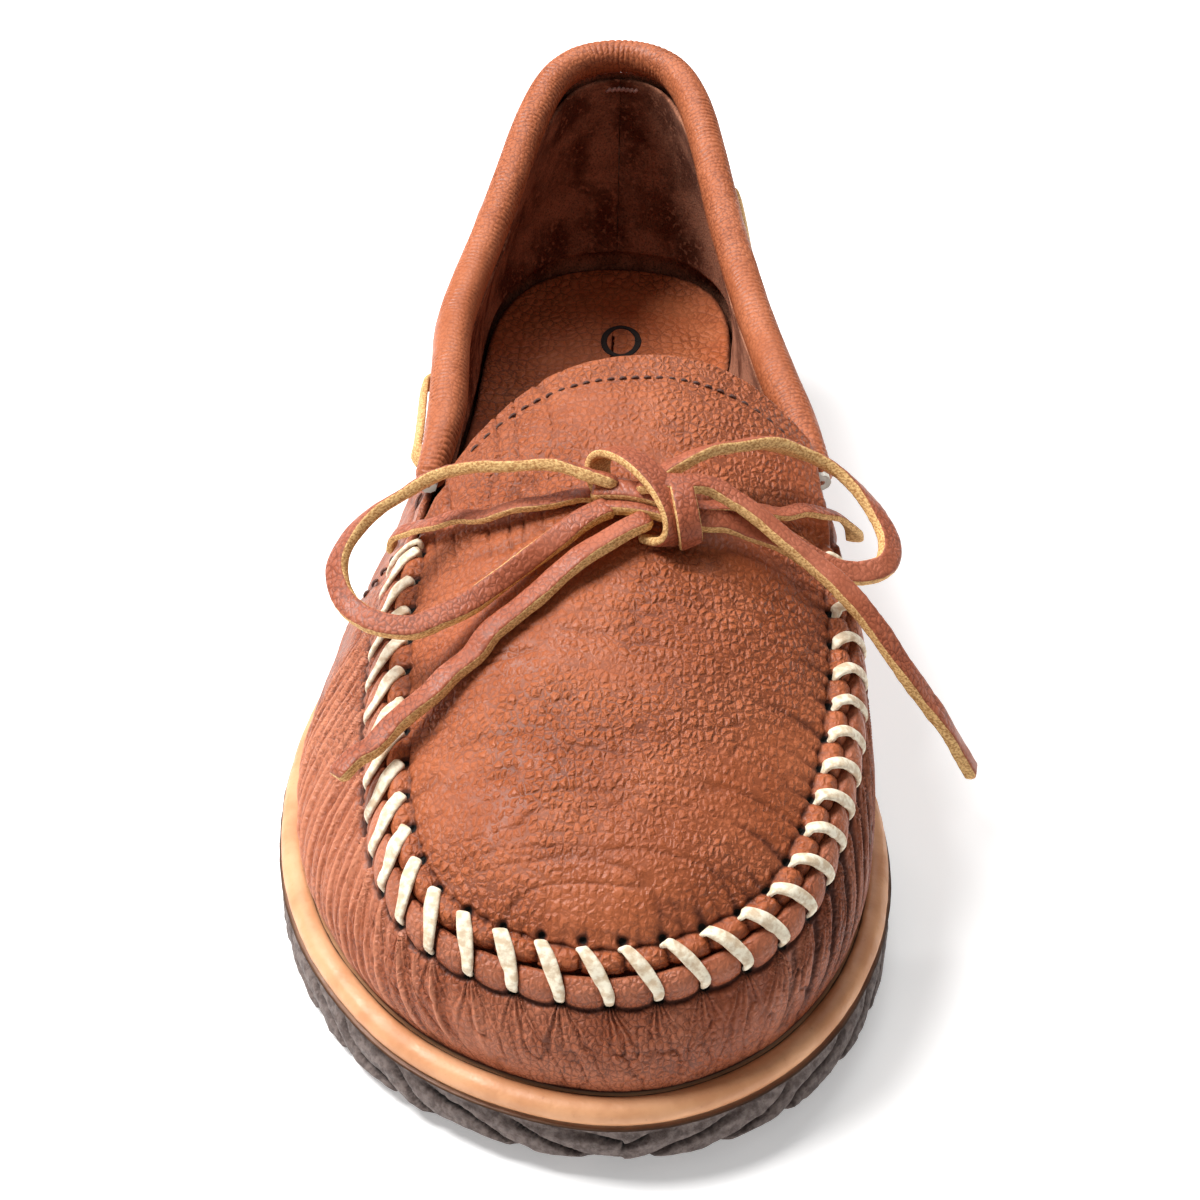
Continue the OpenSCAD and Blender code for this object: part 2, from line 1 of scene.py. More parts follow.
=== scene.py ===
"""A moccasin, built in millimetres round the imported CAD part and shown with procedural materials."""
import math

import bmesh
import bpy
import numpy as np
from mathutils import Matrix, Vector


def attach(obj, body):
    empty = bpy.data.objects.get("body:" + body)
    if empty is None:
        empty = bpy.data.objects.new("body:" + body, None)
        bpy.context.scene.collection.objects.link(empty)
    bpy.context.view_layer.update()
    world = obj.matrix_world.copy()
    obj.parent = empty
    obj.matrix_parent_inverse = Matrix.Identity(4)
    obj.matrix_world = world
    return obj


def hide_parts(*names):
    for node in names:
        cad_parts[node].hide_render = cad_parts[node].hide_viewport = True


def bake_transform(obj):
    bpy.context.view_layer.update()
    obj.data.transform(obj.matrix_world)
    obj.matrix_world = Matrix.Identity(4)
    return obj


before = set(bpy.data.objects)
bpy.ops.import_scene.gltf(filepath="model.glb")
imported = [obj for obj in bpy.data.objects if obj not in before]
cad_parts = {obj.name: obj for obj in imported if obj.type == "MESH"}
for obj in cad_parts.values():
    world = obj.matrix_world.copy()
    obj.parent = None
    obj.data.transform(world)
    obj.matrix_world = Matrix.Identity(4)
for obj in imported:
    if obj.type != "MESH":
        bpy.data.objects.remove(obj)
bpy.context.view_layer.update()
MM = 0.001

# ---- shape, as in the CAD part: millimetres, +Z up, toe to -Y, inner side to +X ----
SOLE_H, OUTSOLE_H, WELT_W = 15.0, 11.0, 5.0
TREAD, SPRING, BALL_Y, TIP_Y = 3.5, 3.5, -92.0, -148.0
LEATHER_T, LINING_T, SEAM_GAP, COLLAR_R = 1.8, 1.0, 2.4, 4.0
WHIPS, LACE_W, LACE_T = 31, 4.4, 2.4
SEAM = {1: 8.9, -1: 20.15}
TOE_U, SEAM_T, BOW, HINGE_Y = 14.0, 0.75, 14.0, -31.0
COLLAR = {1: 8.1, -1: 20.9}
LINING_AT = LEATHER_T + 1.5

# Round the shoe from the middle of the heel: sole's edge (x, y), top edge (x, y, z)
STATIONS = [
    ((0, 148), (1, 141, 80)), ((19, 143.5), (12.5, 135, 79.5)),
    ((32, 130), (18.5, 121, 77)), ((37, 108), (22, 104, 73)),
    ((36, 82), (25, 83, 68.5)), ((34, 56), (29, 57, 64.5)),
    ((35, 30), (33.5, 31, 62)), ((40, 4), (38, 6, 61)),
    ((46, -22), (43, -18, 59.5)), ((52, -48), (47, -46, 53)),
    ((56, -76), (47.5, -72, 47)), ((52.5, -104), (43.5, -98, 42)),
    ((42, -127), (35.5, -121, 38)), ((26, -142), (20, -132.5, 35.5)),
    ((7, -148), (4, -136.5, 34.5)), ((-12, -144.5), (-11, -133.5, 35)),
    ((-30, -134.5), (-25, -126, 36.5)), ((-45, -117), (-33.5, -110.5, 39.5)),
    ((-56, -93), (-36.5, -88, 43.5)), ((-60, -65), (-38, -66, 48)),
    ((-58, -38), (-37.5, -44, 52.5)), ((-52.5, -12), (-33.5, -19, 58)),
    ((-46, 14), (-31.5, 6, 61)), ((-42.5, 40), (-33, 33, 62)),
    ((-40, 66), (-29.5, 58, 64.5)), ((-39, 90), (-25, 83, 68.5)),
    ((-37, 112), (-21.5, 104, 73)), ((-30, 132), (-17.5, 121, 77)),
    ((-17, 144), (-11.5, 135, 79.5)),
]
SWELL = np.array([[3, 9], [4, 8], [4, 5], [3, 5], [3, 5], [5, 8], [3, 5], [4, 8]], float)
CROWN = [0, 4, 7.4, 10.4, 13, 15.2, 16.6, 17, 16.4, 15, 13.2]
COUNT = len(STATIONS)
UP = np.array([0, 0, 1.0])


def unit(v):
    return v / np.maximum(np.linalg.norm(v, axis=-1, keepdims=True), 1e-9)


def ease(t):
    s = np.clip(t, 0, 1)
    return s * s * (3 - 2 * s)


def lifted(q):
    q = np.array(q, float)
    return q - (np.roll(q, 1, 0) - 2 * q + np.roll(q, -1, 0)) / 6


def round_curve(p, t):
    t = np.asarray(t, float)
    n, i = len(p), np.floor(t).astype(int)
    f = (t - i)[..., None]
    g = 1 - f
    return (g**3 * p[(i - 1) % n] + (3 * f**3 - 6 * f**2 + 4) * p[i % n]
            + (-3 * f**3 + 3 * f**2 + 3 * f + 1) * p[(i + 1) % n] + f**3 * p[(i + 2) % n]) / 6


def through(p, t):
    p = np.asarray(p, float)
    p = p[:, None] if p.ndim == 1 else p
    n = len(p) - 1
    s = np.clip(t, 0, 1) * n
    i = np.minimum(np.floor(s).astype(int), n - 1)
    f = (s - i)[..., None]
    e = np.vstack([2 * p[0] - p[1], p, 2 * p[-1] - p[-2]])
    a, b, c, d = e[i], e[i + 1], e[i + 2], e[i + 3]
    return b + 0.5 * f * (c - a + f * (2 * a - 5 * b + 4 * c - d + f * (3 * (b - c) + d - a)))


SOLE = lifted([s[0] for s in STATIONS])
TOP = lifted([s[1] for s in STATIONS])


def sole_edge(u):
    return round_curve(SOLE, u)


def top_edge(u):
    return round_curve(TOP, u)


def out_dir(u):
    d = sole_edge(np.asarray(u) + 0.05) - sole_edge(np.asarray(u) - 0.05)
    return unit(np.stack([-d[..., 1], d[..., 0], 0 * d[..., 0]], -1))


def wall(u, v):
    """The upper's outer surface: u round the shoe, v from the sole to the top edge."""
    u, v = np.broadcast_arrays(np.asarray(u, float), np.asarray(v, float))
    n, e, d = out_dir(u), sole_edge(u), top_edge(u)
    a = np.concatenate([e - n[..., :2] * WELT_W, np.full(u.shape + (1,), SOLE_H + 0.1)], -1)
    s = round_curve(SWELL, u * len(SWELL) / COUNT)
    h = 0.38 * (d[..., 2:] - a[..., 2:]) * UP
    b, c = a + n * s[..., :1] + h, d + n * s[..., 1:] - h
    v = v[..., None]
    w = 1 - v
    return w**3 * a + 3 * w * w * v * b + 3 * w * v * v * c + v**3 * d


def wall_normal(u, v):
    u, v = np.asarray(u, float), np.asarray(v, float)
    return unit(np.cross(wall(u, np.minimum(v + 0.02, 1)) - wall(u, np.maximum(v - 0.02, 0)),
                         wall(u + 0.03, v) - wall(u - 0.03, v)))


def wall_in(u, v, d):
    return wall(u, v) - wall_normal(u, v) * np.asarray(d, float)[..., None]


def seam_edge(side, t):
    u = TOE_U + (SEAM[side] - TOE_U) * np.asarray(t, float)
    return top_edge(u) - out_dir(u) * SEAM_GAP + 0.8 * UP


TONGUE = {
    1: [seam_edge(1, 0.8), seam_edge(1, 1), (43.5, -31, 60.5), (41, -15, 65)],
    -1: [seam_edge(-1, 0.8), seam_edge(-1, 1), (-32.5, -33, 59), (-28, -22, 63.5)],
}


def plug_edge(side, t):
    t = np.asarray(t, float)
    near = seam_edge(side, np.minimum(t, SEAM_T) / SEAM_T)
    far = through(TONGUE[side], (1 + 2 * (t - SEAM_T) / (1 - SEAM_T)) / 3)
    return np.where((t < SEAM_T)[..., None], near, far)


def plug_top(s, t):
    """Upper surface of plug and tongue: s across from -1 to 1, t from the toe to the tongue's end."""
    s, t = np.broadcast_arrays(np.asarray(s, float), np.asarray(t, float))
    a, b, k = plug_edge(-1, t), plug_edge(1, t), ease((t - 0.62) / 0.38)
    w = np.abs(s)
    rise = through(CROWN, t)[..., 0] * (1 - w**2.3)
    return a + (b - a) * ((s + 1) / 2)[..., None] + np.stack([0 * s, BOW * k * (1 - w**2.6), rise], -1)


def plug_normal(s, t):
    q, r = np.clip(s, -0.94, 0.94), np.maximum(t, 0.04)
    return unit(np.cross(plug_top(q + 0.03, r) - plug_top(q - 0.03, r),
                         plug_top(q, np.minimum(r + 0.02, 1)) - plug_top(q, r - 0.02)))


def lattice(i, j, seed):
    h = np.sin(i * 127.1 + j * 311.7 + seed * 74.7) * 43758.5453
    return 2 * (h - np.floor(h)) - 1


def noise(x, y, seed=0):
    """Smooth noise from -1 to 1, one cell to a unit."""
    x, y = np.broadcast_arrays(np.asarray(x, float), np.asarray(y, float))
    i, j = np.floor(x), np.floor(y)
    f, g = ease(x - i), ease(y - j)
    low = lattice(i, j, seed) * (1 - f) + lattice(i + 1, j, seed) * f
    high = lattice(i, j + 1, seed) * (1 - f) + lattice(i + 1, j + 1, seed) * f
    return low * (1 - g) + high * g


def rough(x, y, seed=0, octaves=3):
    return sum(noise(x * 2**k, y * 2**k, seed + 3.1 * k) / 2**k for k in range(octaves)) / 1.75


# ---- meshes ----
def quads(ids):
    return np.stack([ids[:-1, :-1], ids[:-1, 1:], ids[1:, 1:], ids[1:, :-1]], -1).reshape(-1, 4)


def build(name, parts, materials, body=None, node=(), flip=True):
    """One piece from parts (points, faces, material number, shade per point), in millimetres."""
    points = np.concatenate([p[0] for p in parts])
    starts = np.cumsum([0] + [len(p[0]) for p in parts])
    faces, slots = [], []
    for (_, f, m, _), start in zip(parts, starts):
        for one, k in zip(f, np.broadcast_to(m, len(f))):
            faces.append([int(x) + int(start) for x in one])
            slots.append(int(k))
    shade = np.concatenate([np.broadcast_to(p[3], len(p[0])) for p in parts]).astype(np.float32)
    mesh = bpy.data.meshes.new(name)
    mesh.from_pydata([tuple(p) for p in points * MM], [], faces)
    for m in materials:
        mesh.materials.append(m)
    mesh.polygons.foreach_set("material_index", slots)
    mesh.polygons.foreach_set("use_smooth", [True] * len(faces))
    mesh.attributes.new("shade", "FLOAT", "POINT").data.foreach_set("value", shade)
    mesh.attributes.new("place", "FLOAT_VECTOR", "POINT").data.foreach_set(
        "vector", points.astype(np.float32).ravel())
    if flip:
        bm = bmesh.new()
        bm.from_mesh(mesh)
        bmesh.ops.recalc_face_normals(bm, faces=bm.faces)
        bm.to_mesh(mesh)
        bm.free()
    obj = bpy.data.objects.new(name, mesh)
    bpy.context.scene.collection.objects.link(obj)
    if body:
        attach(obj, body)
    if node:
        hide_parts(*([node] if isinstance(node, str) else node))
    return obj


def sheet(outer, inner, shade=0.0, steps=6, bulge=1.0):
    """Closed sheet between two grids with a rounded rim: outer faces take material 0, inner ones 1."""
    rows, cols = outer.shape[:2]
    size = rows * cols
    loop = ([(0, j) for j in range(cols)] + [(i, cols - 1) for i in range(1, rows)]
            + [(rows - 1, j) for j in range(cols - 2, -1, -1)]
            + [(i, 0) for i in range(rows - 2, 0, -1)])
    i, j = np.array(loop).T
    half, middle = (outer - inner)[i, j] / 2, (outer + inner)[i, j] / 2
    away = outer[i, j] - outer[np.clip(i, 1, rows - 2), np.clip(j, 1, cols - 2)]
    along = unit(np.roll(outer[i, j], -1, 0) - np.roll(outer[i, j], 1, 0))
    for d in (unit(half), along):
        away = away - (away * d).sum(-1, keepdims=True) * d
    reach = unit(away) * np.linalg.norm(half, axis=-1, keepdims=True) * bulge
    angles = np.linspace(0, math.pi, steps + 1)[1:-1]
    rim = np.stack([middle + half * math.cos(a) + reach * math.sin(a) for a in angles])
    ids = np.arange(size).reshape(rows, cols)
    bands = np.vstack([ids[i, j], 2 * size + np.arange(rim.shape[0] * len(loop)).reshape(-1, len(loop)),
                       size + ids[i, j]])
    bands = np.hstack([bands, bands[:, :1]])
    faces = np.concatenate([quads(ids), size + quads(ids)[:, ::-1], quads(bands)])
    flat_count, rim_count = len(quads(ids)), len(quads(bands))
    kinds = np.concatenate([np.zeros(flat_count), np.ones(flat_count), np.zeros(rim_count)])
    tone = np.broadcast_to(shade, (rows, cols))
    tones = np.concatenate([tone.ravel(), 0 * tone.ravel(), np.tile(tone[i, j], rim.shape[0])])
    points = np.concatenate([outer.reshape(-1, 3), inner.reshape(-1, 3), rim.reshape(-1, 3)])
    return points, faces, kinds, tones


def rings(grid, shade=0.0, kinds=0):
    """Closed tube through rings, with a fan at each end."""
    n, m = grid.shape[:2]
    ids = np.arange(n * m).reshape(n, m)
    ids = np.hstack([ids, ids[:, :1]])
    faces = [list(q) for q in quads(ids)]
    kinds = np.tile(np.broadcast_to(kinds, m), n - 1)
    points = np.concatenate([grid.reshape(-1, 3), grid[0].mean(0)[None], grid[-1].mean(0)[None]])
    ends = [[n * m, k, (k + 1) % m] for k in range(m)]
    ends += [[n * m + 1, (n - 1) * m + (k + 1) % m, (n - 1) * m + k] for k in range(m)]
    tones = np.concatenate([np.broadcast_to(shade, (n, m)).ravel(), [0, 0]])
    return points, faces + ends, np.concatenate([kinds, np.ones(2 * m) * kinds[0]]), tones


def band(path, ups, w, t, sides=16, square=0.6, round_end=True, kinds=0, shade=0.0):
    """Flat strip along a path, its face turned to ups, with rounded edges."""
    path = np.asarray(path, float)
    n = len(path)
    d = unit(np.gradient(path, axis=0))
    side = unit(np.cross(d, ups))
    up = np.cross(side, d)
    a = (np.arange(sides) + 0.5) * 2 * math.pi / sides
    x = np.sign(np.cos(a)) * np.abs(np.cos(a)) ** square / 2
    y = np.sign(np.sin(a)) * np.abs(np.sin(a)) ** square / 2
    w, t = np.broadcast_to(w, n).astype(float).copy(), np.broadcast_to(t, n).astype(float).copy()
    if round_end:
        w[[0, -1]] *= 0.7
        t[[0, -1]] *= 0.5
    grid = (path[:, None] + side[:, None] * (x[None, :, None] * w[:, None, None])
            + up[:, None] * (y[None, :, None] * t[:, None, None]))
    return rings(grid, shade, kinds)


def resample(points, step):
    """Smooth path through points, with places about step apart."""
    fine = through(points, np.linspace(0, 1, 40 * len(points)))
    s = np.concatenate([[0], np.cumsum(np.linalg.norm(np.diff(fine, axis=0), axis=1))])
    at = np.linspace(0, s[-1], max(4, int(s[-1] / step) + 1))
    return np.stack([np.interp(at, s, fine[:, k]) for k in range(3)], -1)


def threads(pairs, w=0.75, lift=0.35, sides=8, steps=7):
    """Short stitches: each pair is (start, end, up)."""
    made = []
    x = np.linspace(0, 1, steps)[:, None]
    for k, (a, b, up) in enumerate(pairs):
        path = a + (b - a) * x + up * (lift * np.sin(math.pi * x) - 0.25)
        made.append(band(path, up, w, w * 0.8, sides, 0.85))
    return made


# ---- materials: colour, relief and finish all come from nodes, in millimetres on the piece ----
def srgb(*colour):
    """A screen colour, 0 to 255 a channel, as linear light."""
    return tuple(c / 255 / 12.92 if c <= 10 else ((c / 255 + 0.055) / 1.055) ** 2.4
                 for c in colour) + (1.0,)


class Look:
    def __init__(self, name, cad=False):
        self.material = bpy.data.materials.new(name)
        self.material.use_nodes = True
        self.tree = self.material.node_tree
        self.tree.nodes.clear()
        self.shader = self.add("ShaderNodeBsdfPrincipled")
        out = self.add("ShaderNodeOutputMaterial")
        self.link(self.shader.outputs[0], out.inputs[0])
        if cad:
            where = self.add("ShaderNodeTexCoord").outputs["Object"]
            grow = self.add("ShaderNodeVectorMath", operation="SCALE")
            grow.inputs["Scale"].default_value = 1000
            self.link(where, grow.inputs[0])
            self.place, self.shade = grow.outputs[0], self.value(0)
        else:
            self.place = self.add("ShaderNodeAttribute", attribute_name="place").outputs["Vector"]
            self.shade = self.add("ShaderNodeAttribute", attribute_name="shade").outputs["Fac"]

    def add(self, kind, **settings):
        node = self.tree.nodes.new(kind)
        for k, v in settings.items():
            setattr(node, k, v)
        return node

    def link(self, a, b):
        self.tree.links.new(a, b)

    def value(self, x):
        node = self.add("ShaderNodeValue")
        node.outputs[0].default_value = x
        return node.outputs[0]

    def put(self, source, socket):
        if hasattr(source, "links"):
            self.link(source, socket)
        else:
            socket.default_value = source

    def math(self, how, a, b=0.0, clamp=False):
        node = self.add("ShaderNodeMath", operation=how, use_clamp=clamp)
        self.put(a, node.inputs[0])
        self.put(b, node.inputs[1])
        return node.outputs[0]

    def stretched(self, scale, at=None):
        node = self.add("ShaderNodeVectorMath", operation="MULTIPLY")
        self.link(at or self.place, node.inputs[0])
        node.inputs[1].default_value = scale
        return node.outputs[0]

    def noise(self, size, detail=3.0, at=None, rough=0.55):
        node = self.add("ShaderNodeTexNoise")
        self.link(at or self.place, node.inputs["Vector"])
        node.inputs["Scale"].default_value = 1 / size
        node.inputs["Detail"].default_value = detail
        node.inputs["Roughness"].default_value = rough
        return node.outputs[0]

    def cells(self, size, at=None, feature="DISTANCE_TO_EDGE"):
        node = self.add("ShaderNodeTexVoronoi", feature=feature)
        self.link(at or self.place, node.inputs["Vector"])
        node.inputs["Scale"].default_value = 1 / size
        return node.outputs["Distance"]

    def spread(self, x, low, high, to_low=0.0, to_high=1.0):
        node = self.add("ShaderNodeMapRange", interpolation_type="SMOOTHSTEP")
        self.link(x, node.inputs["Value"])
        for name, v in (("From Min", low), ("From Max", high), ("To Min", to_low), ("To Max", to_high)):
            node.inputs[name].default_value = v
        return node.outputs[0]

    def mix(self, factor, a, b, how="MIX"):
        node = self.add("ShaderNodeMix", data_type="RGBA", blend_type=how)
        self.put(factor, node.inputs[0])
        self.put(a, node.inputs[6])
        self.put(b, node.inputs[7])
        return node.outputs[2]

    def wobbly(self, size, amount):
        """The place, moved about by soft noise so that cells aren't regular."""
        node = self.add("ShaderNodeTexNoise")
        self.link(self.place, node.inputs["Vector"])
        node.inputs["Scale"].default_value = 1 / size
        node.inputs["Detail"].default_value = 2
        move = self.add("ShaderNodeVectorMath", operation="MULTIPLY_ADD")
        self.link(node.outputs["Color"], move.inputs[0])
        move.inputs[1].default_value = (amount,) * 3
        self.link(self.place, move.inputs[2])
        return move.outputs[0]

    def finish(self, colour, height=None, depth=0.2, roughness=0.5, **sockets):
        self.put(colour, self.shader.inputs["Base Color"])
        self.put(roughness, self.shader.inputs["Roughness"])
        if height is not None:
            bump = self.add("ShaderNodeBump")
            bump.inputs["Strength"].default_value = 1
            bump.inputs["Distance"].default_value = depth * MM
            self.link(height, bump.inputs["Height"])
            self.link(bump.outputs[0], self.shader.inputs["Normal"])
        for name, v in sockets.items():
            self.shader.inputs[name.replace("_", " ")].default_value = v
        return self.material


def leather(name, base, dark, light, cell, depth, patch=30.0, gloss=0.45):
    """Pebbled leather: rounded grain of about cell millimetres, with painted shade in the grain's gaps and
    painted highlight on its tops; darker (painted shade) where shade is above 0, lighter (painted highlight)
    where it is below 0.
    """
    k = Look(name)
    pebbles = k.add("ShaderNodeTexVoronoi", feature="DISTANCE_TO_EDGE")
    k.link(k.stretched((1.0, 0.72, 0.85), k.wobbly(1.2, 0.9)), pebbles.inputs["Vector"])
    pebbles.inputs["Scale"].default_value = 1 / cell
    pebbles.inputs["Randomness"].default_value = 0.8
    away = k.math("ADD", pebbles.outputs["Distance"], k.spread(k.noise(0.7, 2), 0.3, 0.7, -0.05, 0.05))
    strength = k.spread(k.noise(patch, 2), 0.36, 0.62, 0.45, 1.0)
    height = k.math("MULTIPLY", k.spread(away, 0.0, 0.46), strength)
    height = k.math("ADD", height, k.math("MULTIPLY", k.noise(0.4, 3), 0.12))
    tone = k.mix(k.spread(k.noise(14, 3), 0.35, 0.7, 0.0, 0.4), base, light)
    # painted shade in the gaps between the pebbles
    painted_gap_shade = k.math("MULTIPLY", k.spread(away, 0.13, 0.0), k.math("MULTIPLY", strength, 0.6))
    tone = k.mix(painted_gap_shade, tone, dark)
    # painted highlight on the pebbles' tops
    painted_top_highlight = k.math("MULTIPLY", k.spread(away, 0.2, 0.45), k.math("MULTIPLY", strength, 0.18))
    tone = k.mix(painted_top_highlight, tone, light)
    # painted highlight where shade is below 0, on ridges and lobes; painted shade where it is above 0, in
    # creases, going near black in holes and slits above 0.7
    tone = k.mix(k.spread(k.math("MULTIPLY", k.shade, -1.0), 0.0, 0.8, 0.0, 0.8), tone, light)
    tone = k.mix(k.spread(k.shade, 0.0, 0.6, 0.0, 0.85), tone, dark)
    tone = k.mix(k.spread(k.shade, 0.7, 1.2), tone, srgb(9, 4, 3))
    rough = k.math("ADD", k.spread(k.noise(6, 3), 0.3, 0.7, gloss - 0.06, gloss + 0.12),
                   k.spread(k.shade, 0.1, 0.9, 0.0, 0.3), clamp=True)
    return k.finish(tone, height, depth, rough, Specular_IOR_Level=0.28)


def suede(name, base, dark, light):
    k = Look(name)
    nap = k.noise(0.5, 4)
    tone = k.mix(k.spread(k.noise(14, 4), 0.35, 0.65), base, light)
    tone = k.mix(k.spread(nap, 0.6, 0.3, 0.0, 0.5), tone, dark)
    tone = k.mix(k.spread(k.noise(1.3, 3), 0.54, 0.68, 0.0, 0.7), tone, light)
    # painted shade where shade is above 0
    tone = k.mix(k.spread(k.shade, 0.0, 1.0), tone, dark)
    return k.finish(tone, nap, 0.4, 0.92, Sheen_Weight=0.02, Sheen_Roughness=0.5,
                    Specular_IOR_Level=0.06)


def rubber():
    k = Look("rubber")
    skin = k.math("ADD", k.noise(0.9, 5, rough=0.7),
                  k.math("MULTIPLY", k.cells(1.3, k.wobbly(3, 1.5)), 0.5))
    tone = k.mix(k.spread(k.noise(1.3, 4), 0.35, 0.66), srgb(84, 69, 64), srgb(122, 107, 101))
    # painted shade: near black where shade is high, in the grooves
    tone = k.mix(k.spread(k.shade, 0.0, 0.9), tone, srgb(8, 6, 6))
    return k.finish(tone, skin, 0.35, k.spread(k.noise(2, 3), 0.3, 0.7, 0.5, 0.75))


def tan_band():
    k = Look("tan_band")
    tone = k.mix(k.spread(k.noise(11, 4), 0.35, 0.68), srgb(206, 143, 98), srgb(228, 168, 122))
    tone = k.mix(k.spread(k.noise(1.2, 4), 0.62, 0.8, 0.0, 0.35), tone, srgb(160, 96, 58))
    # painted shade where shade is above 0
    tone = k.mix(k.spread(k.shade, 0.0, 1.0), tone, srgb(58, 28, 14))
    return k.finish(tone, k.noise(1.1, 4), 0.12, k.spread(k.noise(5, 2), 0.3, 0.7, 0.42, 0.58))


def threadlike(name, light, dark, size=0.28, gloss=0.6):
    k = Look(name)
    twist = k.noise(size, 4, k.stretched((1.0, 1.0, 1.6)))
    tone = k.mix(k.spread(twist, 0.35, 0.65), dark, light)
    # painted shade where shade is above 0
    tone = k.mix(k.spread(k.shade, 0.0, 1.0), tone, dark)
    return k.finish(tone, twist, 0.16, gloss)


def plain(name, base, light, size, cad=True):
    k = Look(name, cad)
    tone = k.mix(k.spread(k.noise(size, 4), 0.3, 0.7), base, light)
    return k.finish(tone, k.noise(size / 3, 3), 0.2, 0.8)


UPPER = leather("upper_leather", srgb(158, 82, 46), srgb(62, 22, 9), srgb(194, 112, 72), 1.4, 0.45)
WALL = leather("wall_leather", srgb(146, 75, 45), srgb(48, 17, 8), srgb(208, 134, 102), 1.1, 0.25)
COLLAR_SKIN = leather("collar_leather", srgb(170, 94, 58), srgb(92, 40, 21), srgb(198, 120, 82),
                      1.1, 0.08, 60)
SUEDE = suede("lining_suede", srgb(110, 61, 41), srgb(28, 12, 7), srgb(190, 130, 102))
SOCK = leather("sock_leather", srgb(186, 100, 60), srgb(70, 29, 14), srgb(216, 134, 90), 2.2, 0.5)
RUBBER = rubber()
TAN = tan_band()
CREAM = threadlike("cream_lace", srgb(246, 236, 212), srgb(208, 184, 152), 1.6)
BROWN_THREAD = threadlike("brown_thread", srgb(104, 56, 38), srgb(46, 20, 12))
PALE_THREAD = threadlike("pale_thread", srgb(232, 190, 178), srgb(170, 116, 104))
LACE_EDGE = threadlike("lace_edge", srgb(238, 196, 130), srgb(176, 122, 66), 0.5, 0.75)
LACE_SKIN = leather("lace_skin", srgb(160, 84, 56), srgb(84, 36, 20), srgb(196, 120, 92), 1.1, 0.12, 20)
INK = plain("mark_ink", srgb(16, 11, 10), srgb(34, 24, 20), 1.5, cad=False)

# ---- camera, light and floor ----
# Lens and sensor in millimetres, places in metres, angles in degrees
LENS, SENSOR, NEAR = 75, 36, 0.01
CAMERA_AT, LOOK_DOWN, LOOK_ASIDE = (0.011, -0.438, 0.319), 34.7, 1.5
WORLD_LIGHT, FLOOR_GLOW, HALF_FLOOR = 0.26, 0.32, 3
scene = bpy.context.scene
scene.view_settings.view_transform = "Standard"
camera = bpy.data.objects.new("camera", bpy.data.cameras.new("camera"))
camera.data.lens, camera.data.sensor_width = LENS, SENSOR
camera.data.clip_start = NEAR
camera.location = CAMERA_AT
camera.rotation_euler = (math.radians(90 - LOOK_DOWN), 0, math.radians(LOOK_ASIDE))
scene.collection.objects.link(camera)
scene.camera = camera


def lamp(name, at, size, power, colour=(1, 1, 1)):
    data = bpy.data.lights.new(name, "AREA")
    data.shape, data.size, data.energy, data.color = "DISK", size, power, colour
    obj = bpy.data.objects.new(name, data)
    obj.location = at
    obj.rotation_euler = (-Vector(at)).to_track_quat("-Z", "Y").to_euler()
    scene.collection.objects.link(obj)


lamp("key", (-0.95, 0.25, 1.58), 0.9, 53)
lamp("top", (0.1, 1.0, 1.6), 0.9, 14)
world = bpy.data.worlds.new("world")
world.use_nodes = True
world.node_tree.nodes["Background"].inputs[0].default_value = (1, 1, 1, 1)
world.node_tree.nodes["Background"].inputs[1].default_value = WORLD_LIGHT
scene.world = world

floor_mesh = bpy.data.meshes.new("floor")
floor_mesh.from_pydata([(x * HALF_FLOOR, y * HALF_FLOOR, 0) for x, y in ((-1, -1), (1, -1), (1, 1), (-1, 1))],
                       [], [(0, 1, 2, 3)])
floor_look = Look("floor", cad=True)
floor_look.finish(srgb(244, 243, 242), roughness=0.9, Emission_Color=(1, 1, 1, 1),
                  Emission_Strength=FLOOR_GLOW)
floor_mesh.materials.append(floor_look.material)
floor = bpy.data.objects.new("floor", floor_mesh)
scene.collection.objects.link(floor)

# ---- the bow: the lace's routes, the same points as in the CAD part ----
LOOP_LATERAL = [(4, -48, 75), (-1, -47, 76), (-8, -45, 77), (-16, -44, 76), (-23, -43, 75),
    (-30, -43, 73), (-36, -45, 70), (-41, -48, 68), (-45, -53, 66), (-47, -59, 64), (-46, -65, 62),
    (-43, -70, 61), (-38, -74, 61), (-32, -75, 61), (-27, -73, 62), (-22, -70, 63), (-17, -66, 65),
    (-12, -62, 67), (-7, -58, 69), (-2, -54, 71), (3, -51, 72)]
LOOP_MEDIAL = [(11, -46, 75), (15, -43, 76), (20, -40, 77), (26, -36, 76), (32, -33, 75),
    (38, -31, 72), (44, -31, 69), (49, -34, 66), (53, -39, 63), (55, -45, 61), (54, -51, 60),
    (50, -54, 60), (45, -55, 61), (40, -54, 63), (35, -53, 66), (30, -53, 68), (25, -53, 70),
    (20, -54, 71), (15, -54, 72)]
TAIL_LATERAL = [(10, -55, 72), (6, -57, 71), (2, -60, 70), (-2, -63, 69), (-6, -66, 67),
    (-10, -70, 65), (-14, -73, 63), (-18, -76, 61), (-21, -79, 58), (-25, -82, 56), (-28, -85, 54),
    (-32, -88, 52), (-35, -90, 50), (-38, -93, 48), (-41, -95, 47), (-44, -98, 45)]
TAIL_MEDIAL = [(8, -50, 76), (12, -51, 77), (16, -51, 77), (21, -50, 76), (26, -52, 74), (30, -54, 72),
    (35, -57, 69), (40, -60, 66), (44, -63, 64), (48, -66, 61), (52, -69, 57), (56, -72, 52),
    (60, -74, 47), (64, -76, 42), (67, -77, 37), (70, -78, 32)]
